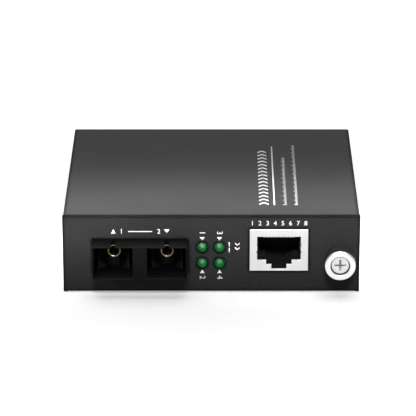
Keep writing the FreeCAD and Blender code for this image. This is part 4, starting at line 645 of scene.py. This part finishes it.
sleeve_black = anodised(
    "black anodised sleeve", grey(0.016, 0.0005), grey(0.05, 0.001), roughness=0.34
)
sleeve_profile = [
    (BORE_RADIUS, ring_front + BREAK), (RING_BORE, ring_front + BREAK), (RING_BORE, ring_back),
    (ring_radius - BREAK, ring_back), (ring_radius, ring_back + BREAK),
    (ring_radius, panel_face), (SHANK_RADIUS, panel_face), (SHANK_RADIUS, sleeve_back),
    (HOLE_RADIUS, sleeve_back), (HOLE_RADIUS, sleeve_back - SLEEVE_FLOOR),
    (BORE_RADIUS, sleeve_back - SLEEVE_FLOOR), (BORE_RADIUS, ring_front + BREAK),
]
sleeve = turned_piece("screw_sleeve_turning", axis, sleeve_profile, sleeve_black, "black_anodised")
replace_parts(sleeve, "screw_sleeve")

bright = plated("bright turned nickel", grey(0.90), grey(0.96), roughness=0.26, brushed=0.0002)
ring_profile = [
    (RING_BORE, ring_front + BREAK), (RING_BORE + BREAK, ring_front),
    (ring_radius - RING_BREAK, ring_front), (ring_radius, ring_front + RING_BREAK),
    (ring_radius, ring_back), (RING_BORE, ring_back), (RING_BORE, ring_front + BREAK),
]
face_ring = turned_piece("sleeve_ring_turning", axis, ring_profile, bright, "bright_nickel")
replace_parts(face_ring, "sleeve_face_ring")


def faced(name, deep, pale, shaded, face, depth):
    """Satin nickel that keeps its colour on the face and falls to a painted shade once it is sunk past a
    depth along Y, darkening the cross recess and the shank.
    """
    material, place = begin(name)
    grain = noise(place, size=0.0002)
    stains = noise(place, size=0.002, detail=3.0)
    shine = (0.4 * grain + 0.6 * stains).stretched().between(deep, pale)
    sunk = place.part("Y").held(face, face + depth)
    roughness = 0.28 + 0.08 * stains + 0.12 * sunk
    smooth = rounded(place, 0.0001)
    surface(place, sunk.between(shine, shaded), roughness, grain, 0.000002, smooth, Metallic=1.0)
    return material


def cross_headed(centre, face, radius, span, width, depth, rings=48, turns=192):
    """A screw head's face on a grid of rings and turns. A wing of the cross along u has a depth of
    depth * (1 - |u| / (span / 2)) ** 0.5, times a ramp that goes from 0 at |v| = width / 2 to 1 at a
    quarter of the width; the deeper of the two wings counts, and the plain face is flat."""
    out = np.concatenate([[0.0], np.linspace(0.0, 0.5 * span, rings)[1:], [0.8 * radius, radius]])
    angle = np.linspace(0.0, 2.0 * np.pi, turns, endpoint=False)
    u = out[:, None] * np.cos(angle)
    v = out[:, None] * np.sin(angle)

    def wing(along, beside):
        run = np.clip(1.0 - np.abs(along) / (0.5 * span), 0.0, 1.0) ** 0.5
        flank = np.clip((0.5 * width - np.abs(beside)) / (0.25 * width), 0.0, 1.0)
        return run * flank

    sunk = depth * np.maximum(wing(u, v), wing(v, u))
    points = np.stack([centre[0] + u, face + sunk, centre[1] + v], axis=-1).reshape(-1, 3)
    return points, grid_faces(len(out), turns)


def threaded(centre, start, end, core, crest, pitch, turns=48, steps=10):
    """A screw thread: radius = core + (crest - core) * min(1, 1.25 * ridge), where ridge is a
    triangle wave of along / pitch - angle / (2 pi), fading out at both ends."""
    along = np.linspace(start, end, int(round((end - start) / pitch * steps)) + 1)
    angle = np.linspace(0.0, 2.0 * np.pi, turns, endpoint=False)
    phase = (along[:, None] - start) / pitch - angle / (2.0 * np.pi)
    ridge = np.minimum(1.0, 1.25 * (1.0 - np.abs(2.0 * (phase % 1.0) - 1.0)))
    fade = np.clip(np.minimum(along - start, end - along) / pitch, 0.0, 1.0)
    radius = core + (crest - core) * ridge * fade[:, None]
    x = centre[0] + radius * np.cos(angle)
    z = centre[1] + radius * np.sin(angle)
    y = np.broadcast_to(along[:, None], x.shape)
    return np.stack([x, y, z], axis=-1).reshape(-1, 3), grid_faces(len(along), turns)


HEAD_RADIUS = 0.0025
HEAD_TURNS = 192
CROSS_SPAN = 0.0034
CROSS_WIDTH = 0.00056
CROSS_DEPTH = 0.0008
SHAFT_RADIUS = 0.0013
THREAD_CREST = 0.0015
THREAD_CORE = 0.00125
THREAD_LENGTH = 0.0053
THREAD_PITCH = 0.0005
TIP_RADIUS = 0.001
TIP_LENGTH = 0.0004
WASHER_GAP = 0.00005
RECESS_SHADE_START = 0.00002
RECESS_SHADE_DEPTH = 0.00025
head_front, screw_tip = (corner.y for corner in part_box("captive_screw"))
head_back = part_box("spring_washer")[0].y - WASHER_GAP
rim_radius = HEAD_RADIUS - BREAK
thread_start = screw_tip - THREAD_LENGTH
thread_end = screw_tip - TIP_LENGTH
shaft_profile = [
    (rim_radius, head_front), (HEAD_RADIUS, head_front + BREAK), (HEAD_RADIUS, head_back),
    (SHAFT_RADIUS, head_back), (SHAFT_RADIUS, thread_start), (THREAD_CORE, thread_start),
]
tip_profile = [(THREAD_CORE, thread_end), (TIP_RADIUS, screw_tip), (0.0, screw_tip)]
screw_shape = together(
    cross_headed(axis, head_front, rim_radius, CROSS_SPAN, CROSS_WIDTH, CROSS_DEPTH, turns=HEAD_TURNS),
    turned(axis, shaft_profile, HEAD_TURNS),
    threaded(axis, thread_start, thread_end, THREAD_CORE, THREAD_CREST, THREAD_PITCH),
    turned(axis, tip_profile, 48),
)
# Painted shade darkens the cross recess and everything behind the head's face.
screw_grey = faced(
    "satin nickel with painted recess shade", grey(0.74), grey(0.81), shaded=grey(0.30), face=head_front + RECESS_SHADE_START,
    depth=RECESS_SHADE_DEPTH,
)
screw = closed(new_piece("captive_screw_turning", *screw_shape, screw_grey, "captive_screw", "bright_nickel"))
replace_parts(sharp(screw, 35), "captive_screw")

spring_steel = plated("spring steel", grey(0.34), grey(0.52, -0.01), roughness=0.24, brushed=0.00006)
dress(spring_steel, "retaining_clip")
dress(nickel, "spring_washer")


def coiled(centre, start, end, coil, wire, turns, steps=40, around=12):
    """Round wire wound about the Y axis: x = centre + (coil + wire cos b) cos a, z = centre +
    (coil + wire cos b) sin a, y = rise + wire sin b. The rise is level for the first and last
    half turn and even between them, and the wire's radius falls to 0 at both ends."""
    turned_by = 2.0 * np.pi * np.linspace(0.0, turns, turns * steps + 1)
    turned_by = np.concatenate([turned_by[:1], turned_by, turned_by[-1:]])
    share = np.clip((turned_by / (2.0 * np.pi) - 0.5) / (turns - 1.0), 0.0, 1.0)
    rise = start + wire + (end - start - 2.0 * wire) * share
    thick = np.full(len(turned_by), wire)
    thick[[0, -1]] = 0.0
    beside = np.linspace(0.0, 2.0 * np.pi, around, endpoint=False)
    reach = coil + thick[:, None] * np.cos(beside)
    x = centre[0] + reach * np.cos(turned_by)[:, None]
    y = rise[:, None] + thick[:, None] * np.sin(beside)
    z = centre[1] + reach * np.sin(turned_by)[:, None]
    return np.stack([x, y, z], axis=-1).reshape(-1, 3), grid_faces(len(turned_by), around)


COIL_RADIUS = 0.00205
SPRING_WIRE = 0.00025
SPRING_TURNS = 5
spring_low, spring_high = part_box("screw_spring")
stroke = next(joint["range_m"][1] for joint in frame["joints"] if joint["name"] == "screw_push")
spring_shape = coiled(axis, spring_low.y, spring_high.y, COIL_RADIUS, SPRING_WIRE, SPRING_TURNS)
spring = closed(new_piece("screw_spring_coil", *spring_shape, spring_steel, "case", "spring_steel"))
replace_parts(spring, "screw_spring")
1.0 - stroke / (spring_high.y - spring_low.y)
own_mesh(spring)


# --- Power inlet ---------------------------------------------------------------------------
# A round low-voltage inlet is soldered at the board's rear edge and looks out of the flange.
# Its body is moulded black, with a nickel-plated centre pin and a sprung outer contact.

dress(block_black, "dc_jack_body")
dress(nickel, "dc_jack_pin", "dc_jack_contact")


# --- Top cover -----------------------------------------------------------------------------
# The cover is folded steel, powder coated dark grey, with a row of vent slots down each side.
# It slides on behind the panel and one black screw at each side holds it to the tray's lips.

# The cover's rounded edges carry the same painted edge shade.
cover_grey = powder_coat(
    "dark grey powder coat", deep=grey(0.034), pale=grey(0.0623), edge=grey(0.006), specular=0.14
)
dress(cover_grey, "top_cover")

COVER_HEAD = 0.0023
COVER_SHANK = 0.00125
COVER_SHEET = 0.0008
COVER_SCREW_LENGTH = 0.0029
COVER_CROSS_SPAN = 0.0028
COVER_CROSS_WIDTH = 0.0006
COVER_CROSS_DEPTH = 0.0007
COVER_SCREW_TURNS = 96
screw_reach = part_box("cover_screws")[1].x
head_middle = (0.0, axis_of("cover_screws")[1])
cover_screw_profile = [
    (COVER_HEAD, 0.0), (COVER_SHANK, COVER_SHEET), (COVER_SHANK, COVER_SCREW_LENGTH),
    (0.0, COVER_SCREW_LENGTH),
]
cover_screw_points, cover_screw_faces = together(
    cross_headed(
        head_middle, 0.0, COVER_HEAD, COVER_CROSS_SPAN, COVER_CROSS_WIDTH, COVER_CROSS_DEPTH,
        rings=30, turns=COVER_SCREW_TURNS,
    ),
    turned(head_middle, cover_screw_profile, COVER_SCREW_TURNS),
)


def facing_out(points, side, reach):
    """Turns a screw made along +Y so that its head looks out at the right or left side, at the
    given reach from the middle: x becomes side (reach - y) and y becomes side x."""
    return np.stack([side * (reach - points[:, 1]), side * points[:, 0], points[:, 2]], axis=-1)


cover_screw_pair = together(*[
    (facing_out(cover_screw_points, side, screw_reach), cover_screw_faces) for side in (-1.0, 1.0)
])
screw_black = plated("black zinc plate", grey(0.02, 0.001), grey(0.06, 0.002), roughness=0.3, brushed=0.00006)
side_screws = closed(new_piece("cover_screw_pair", *cover_screw_pair, screw_black, "case", "black_zinc"))
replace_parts(sharp(side_screws, 35), "cover_screws")


# --- Printed marks -------------------------------------------------------------------------
# White ink is screen printed on the panel and the cover: plain numerals beside the fittings,
# arrows over the two optical ports, and a plain scale with arrowheads on top.

INK = 0.00002
FIGURE_SHARE = 0.72


def bar(u, v, wide, tall):
    """A rectangle about (u, v)."""
    return [(u - wide / 2, v - tall / 2), (u + wide / 2, v - tall / 2),
            (u + wide / 2, v + tall / 2), (u - wide / 2, v + tall / 2)]


def arrowhead(u, v, wide, tall):
    """A triangle about (u, v) that points up, or down if tall is negative."""
    corners = [(u - wide / 2, v - tall / 2), (u + wide / 2, v - tall / 2), (u, v + tall / 2)]
    return corners if tall > 0 else corners[::-1]


def pointer(u, v, wide, tall):
    """A triangle about (u, v) that points along +u, or along -u if wide is negative."""
    corners = [(u - wide / 2, v - tall / 2), (u + wide / 2, v), (u - wide / 2, v + tall / 2)]
    return corners if wide > 0 else corners[::-1]


def chevron(u, v, wide, tall):
    """An arrowhead of even stroke about (u, v) that points along +u."""
    stroke = 0.45 * wide
    return [(u - wide / 2, v - tall / 2), (u - wide / 2 + stroke, v - tall / 2), (u + wide / 2, v),
            (u - wide / 2 + stroke, v + tall / 2), (u - wide / 2, v + tall / 2), (u + wide / 2 - stroke, v)]


def stamped(outlines):
    """Thin closed plates, as (points, list of faces): each flat outline is laid at -INK and again
    at +INK, with a face over each of the two and a wall between them."""
    points, faces, count = [], [], 0
    for outline in outlines:
        corner = np.arange(len(outline))
        under, over = count + corner, count + len(outline) + corner
        points += [np.column_stack([outline, np.full(len(outline), w)]) for w in (-INK, INK)]
        walls = np.column_stack([under, np.roll(under, -1), np.roll(over, -1), over])
        faces += [over.tolist(), under[::-1].tolist()] + walls.tolist()
        count += 2 * len(outline)
    return np.vstack(points), faces


def numeral(text, u, v, tall):
    """A number as thin closed plates, its middle at (u, v)."""
    curve = bpy.data.curves.new("numeral", "FONT")
    curve.body = text
    curve.align_x = "CENTER"
    curve.align_y = "CENTER"
    curve.size = tall / FIGURE_SHARE
    curve.extrude = INK
    curve.resolution_u = 3
    shown = bpy.data.objects.new("numeral", curve)
    mesh = bpy.data.meshes.new_from_object(shown)
    points = np.empty(len(mesh.vertices) * 3)
    mesh.vertices.foreach_get("co", points)
    faces = [list(face.vertices) for face in mesh.polygons]
    bpy.data.objects.remove(shown)
    return points.reshape(-1, 3) + (u, v, 0.0), faces


def laid(shapes, origin, across, up):
    """Places flat marks: point = origin + u * across + v * up + w * (across x up)."""
    frame_axes = np.array([across, up, np.cross(across, up)], float)
    points, faces, count = [], [], 0
    for shape_points, shape_faces in shapes:
        points.append(np.array(origin) + shape_points @ frame_axes)
        faces += [[count + corner for corner in face] for face in shape_faces]
        count += len(shape_points)
    return np.vstack(points), faces


ink, ink_place = begin("white ink")
ink_grain = noise(ink_place, size=0.00012)
ink_colour = ink_grain.stretched().between(grey(0.66), grey(0.80))
surface(ink_place, ink_colour, 0.5 + 0.15 * ink_grain, ink_grain, 0.000004, facing(ink_place))

# The panel has a numeral over each of the socket's eight ways, and a numeral and an arrow over
# each port with a bar between the two.
PANEL_FIGURE = 0.00135
FIGURE_STEP = 0.0021
JACK_LINE_DROP = 0.0022
PORT_LINE_DROP = 0.0046
PORT_FIGURE_ASIDE = 0.0022
PORT_ARROW_WIDE = 0.0015
PORT_ARROW_TALL = 0.0013
PORT_BAR_LONG = 0.0066
THIN_BAR = 0.0003
panel_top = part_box("base_tray")[1].z
jack_x = axis_of("rj45_shield")[0]
tx_x = axis_of("tx_ferrule_sleeve")[0]
rx_x = axis_of("rx_ferrule_sleeve")[0]
jack_line = panel_top - JACK_LINE_DROP
port_line = panel_top - PORT_LINE_DROP
contact_figures = [
    numeral(str(number), jack_x + (number - 4.5) * FIGURE_STEP, jack_line, PANEL_FIGURE)
    for number in range(1, 9)
]
port_marks = [
    numeral("1", tx_x + PORT_FIGURE_ASIDE, port_line, PANEL_FIGURE),
    numeral("2", rx_x - PORT_FIGURE_ASIDE, port_line, PANEL_FIGURE),
    stamped([
        arrowhead(tx_x, port_line, PORT_ARROW_WIDE, PORT_ARROW_TALL),
        arrowhead(rx_x, port_line, PORT_ARROW_WIDE, -PORT_ARROW_TALL),
        bar((tx_x + rx_x) / 2.0, port_line, PORT_BAR_LONG, THIN_BAR),
    ]),
]
panel_marks = laid(
    contact_figures + port_marks, (0.0, panel_face, 0.0), (1.0, 0.0, 0.0), (0.0, 0.0, 1.0)
)
new_piece("panel_figures", *panel_marks, ink, "case", "white_ink")

# Each light has a numeral and a pointer towards it, a quarter turned so that they read
# downwards, and two short bars and two chevrons stand to the right of the copper light.
LABEL_GAP = 0.0034
LABEL_HALF = 0.0009
LIGHT_FIGURE = 0.0016
POINTER_LONG = 0.0011
POINTER_WIDE = 0.0014
LINK_GAP = 0.0013
LINK_BAR = 0.0013
LINK_BARS = (-0.0008, 0.0009)
LINK_CHEVRON_LONG = 0.0010
LINK_CHEVRON_WIDE = 0.0013
LINK_CHEVRONS = (-0.0009, 0.0004)
CHEVRON_BEYOND = 0.0022
light_marks = []
for number, name in enumerate(("led_fibre", "led_power", "led_copper", "led_speed"), start=1):
    beside, height = axis_of(name)
    away = -1.0 if name in ("led_fibre", "led_copper") else 1.0
    middle = -height + away * LABEL_GAP
    towards = -away
    light_marks.append(numeral(str(number), middle - LABEL_HALF * towards, beside, LIGHT_FIGURE))
    light_marks.append(stamped([
        pointer(middle + LABEL_HALF * towards, beside, POINTER_LONG * towards, POINTER_WIDE)
    ]))
lit = -axis_of("led_copper")[1]
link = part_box("led_copper")[1].x + LINK_GAP
light_marks.append(stamped(
    [bar(lit + offset, link, LINK_BAR, THIN_BAR) for offset in LINK_BARS]
    + [chevron(lit + offset, link + CHEVRON_BEYOND, LINK_CHEVRON_LONG, LINK_CHEVRON_WIDE)
       for offset in LINK_CHEVRONS]
))
light_plates = laid(light_marks, (0.0, panel_face, 0.0), (0.0, 0.0, -1.0), (1.0, 0.0, 0.0))
new_piece("panel_light_marks", *light_plates, ink, "case", "white_ink")

# The cover has a row of chevrons, a rule and two scales, which run from front to rear. Each
# line of marks lies at its own distance to the right of the middle.
FRONT_LINE = 0.0090
CHEVRON_COUNT = 16
CHEVRON_PITCH = 0.0028
CHEVRON_FIRST = 0.0012
CHEVRON_LINE = 0.01465
CHEVRON_LONG = 0.0021
CHEVRON_WIDE = 0.0026
RULE_LINE = 0.01755
RULE_LENGTH = 0.0478
RULE_WIDE = 0.0004
SCALES = ((0.0205, 0.0390), (0.0236, 0.0490))
TICK_PITCH = 0.0007
TICK_FIRST = 0.0002
TICK_WIDE = 0.00022
LONG_TICK = 0.0011
SHORT_TICK = 0.0007
cover_marks = [
    chevron(FRONT_LINE + CHEVRON_FIRST + CHEVRON_PITCH * step, CHEVRON_LINE, CHEVRON_LONG, CHEVRON_WIDE)
    for step in range(CHEVRON_COUNT)
]
cover_marks.append(bar(FRONT_LINE + RULE_LENGTH / 2.0, RULE_LINE, RULE_LENGTH, RULE_WIDE))
for line, length in SCALES:
    for step in range(int(length / TICK_PITCH)):
        tall = LONG_TICK if step % 5 == 0 else SHORT_TICK
        along = FRONT_LINE + TICK_FIRST + TICK_PITCH * step
        cover_marks.append(bar(along, line + 0.5 * (LONG_TICK - tall), TICK_WIDE, tall))
cover_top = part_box("top_cover")[1].z
cover_plates = laid(
    [stamped(cover_marks)], (0.0, panel_face, cover_top), (0.0, 1.0, 0.0), (1.0, 0.0, 0.0)
)
new_piece("cover_scale", *cover_plates, ink, "case", "white_ink")


# --- Floor, lamps and camera ---------------------------------------------------------------
# The object stands on a white floor that glows where it runs away from the object, under one
# large soft lamp and two small ones, in front of a long lens.

FLOOR = -0.0003
FLOOR_REACH = 3.0
GLOW_FROM = 0.050
GLOW_TO = 0.14
GLOW_NEAR = 0.30
GLOW_RISE = 0.45
white, white_place = begin("white floor")
white_path = sum(
    white_place.node("ShaderNodeLightPath", {}, {}, ray)
    for ray in ("Is Camera Ray", "Is Glossy Ray", "Is Transmission Ray")
)
away_from_object = white_place.vector("LENGTH", output="Value").held(GLOW_FROM, GLOW_TO)
glow = (white_path * (GLOW_NEAR + GLOW_RISE * away_from_object)).between(grey(0.0), grey(1.0))
paper = white_place.node("ShaderNodeBsdfPrincipled", {}, {
    "Base Color": grey(0.90), "Roughness": 0.9, "Specular IOR Level": 0.0,
    "Emission Color": glow, "Emission Strength": 1.0,
})
white_place.node("ShaderNodeOutputMaterial", {}, {"Surface": paper})

floor_sheet = bpy.data.meshes.new("floor")
corners = [(-FLOOR_REACH, -FLOOR_REACH), (FLOOR_REACH, -FLOOR_REACH),
           (FLOOR_REACH, FLOOR_REACH), (-FLOOR_REACH, FLOOR_REACH)]
floor_sheet.from_pydata([(x, y, FLOOR) for x, y in corners], [], [(0, 1, 2, 3)])
floor_sheet.materials.append(white)
floor = bpy.data.objects.new("floor", floor_sheet)
bpy.context.scene.collection.objects.link(floor)

SKY_LIGHT = 0.06
SKY_SHINE = 0.34
world = bpy.data.worlds.new("studio")
world.use_nodes = True
world.node_tree.nodes.clear()
sky = Wire(world.node_tree.nodes.new("ShaderNodeLightPath").outputs["Is Camera Ray"])
glossy = sky.node("ShaderNodeLightPath", {}, {}, "Is Glossy Ray")
through = sky.node("ShaderNodeLightPath", {}, {}, "Is Transmission Ray")
strength = SKY_LIGHT + (1.0 - SKY_LIGHT) * sky + SKY_SHINE * (glossy + through)
dome = sky.node("ShaderNodeBackground", {}, {"Color": grey(1.0), "Strength": strength})
sky.node("ShaderNodeOutputWorld", {}, {"Surface": dome})
bpy.context.scene.world = world


def lamp(name, place, aim, width, depth, power, spread=180.0):
    """A soft rectangular lamp at a place in metres, turned to face another."""
    light = bpy.data.lights.new(name, "AREA")
    light.shape = "RECTANGLE"
    light.size = width
    light.size_y = depth
    light.energy = power
    light.spread = math.radians(spread)
    stand = bpy.data.objects.new(name, light)
    bpy.context.scene.collection.objects.link(stand)
    stand.location = place
    aimed = Vector(aim) - Vector(place)
    stand.rotation_euler = aimed.to_track_quat("-Z", "Y").to_euler()


lamp("overhead", place=(0.0, -0.02, 0.75), aim=(0.0, -0.02, 0.0), width=0.8, depth=0.6, power=4.5)
lamp(
    "front strip", place=(-0.02, -0.096, 0.0824), aim=(-0.02, -0.030, 0.0224),
    width=0.30, depth=0.03, power=0.075, spread=20.0,
)
lamp(
    "left fill", place=(-0.15, -0.13, 0.075), aim=(-0.038, -0.036, 0.0205),
    width=0.015, depth=0.015, power=0.0019, spread=14.0,
)

TILT = math.radians(21.08)
DISTANCE = 0.774
RISE = 0.0022
ASIDE = 0.00182
SENSOR_WIDTH = 36.0
LENS_LENGTH = 243.8
LENS_SHIFT = -0.02362
panel_top_edge = np.array([ASIDE, panel_face, panel_top])
aim = np.array([0.0, math.cos(TILT), -math.sin(TILT)])
lift = np.array([0.0, math.sin(TILT), math.cos(TILT)])
lens_unit = bpy.data.cameras.new("camera")
lens_unit.sensor_width = SENSOR_WIDTH
lens_unit.lens = LENS_LENGTH
lens_unit.shift_x = LENS_SHIFT
lens_unit.clip_end = 20.0
camera = bpy.data.objects.new("camera", lens_unit)
camera.location = panel_top_edge - DISTANCE * aim + RISE * lift
camera.rotation_euler = (math.pi / 2.0 - TILT, 0.0, 0.0)
bpy.context.scene.collection.objects.link(camera)
bpy.context.scene.camera = camera
bpy.context.scene.view_settings.view_transform = "Standard"
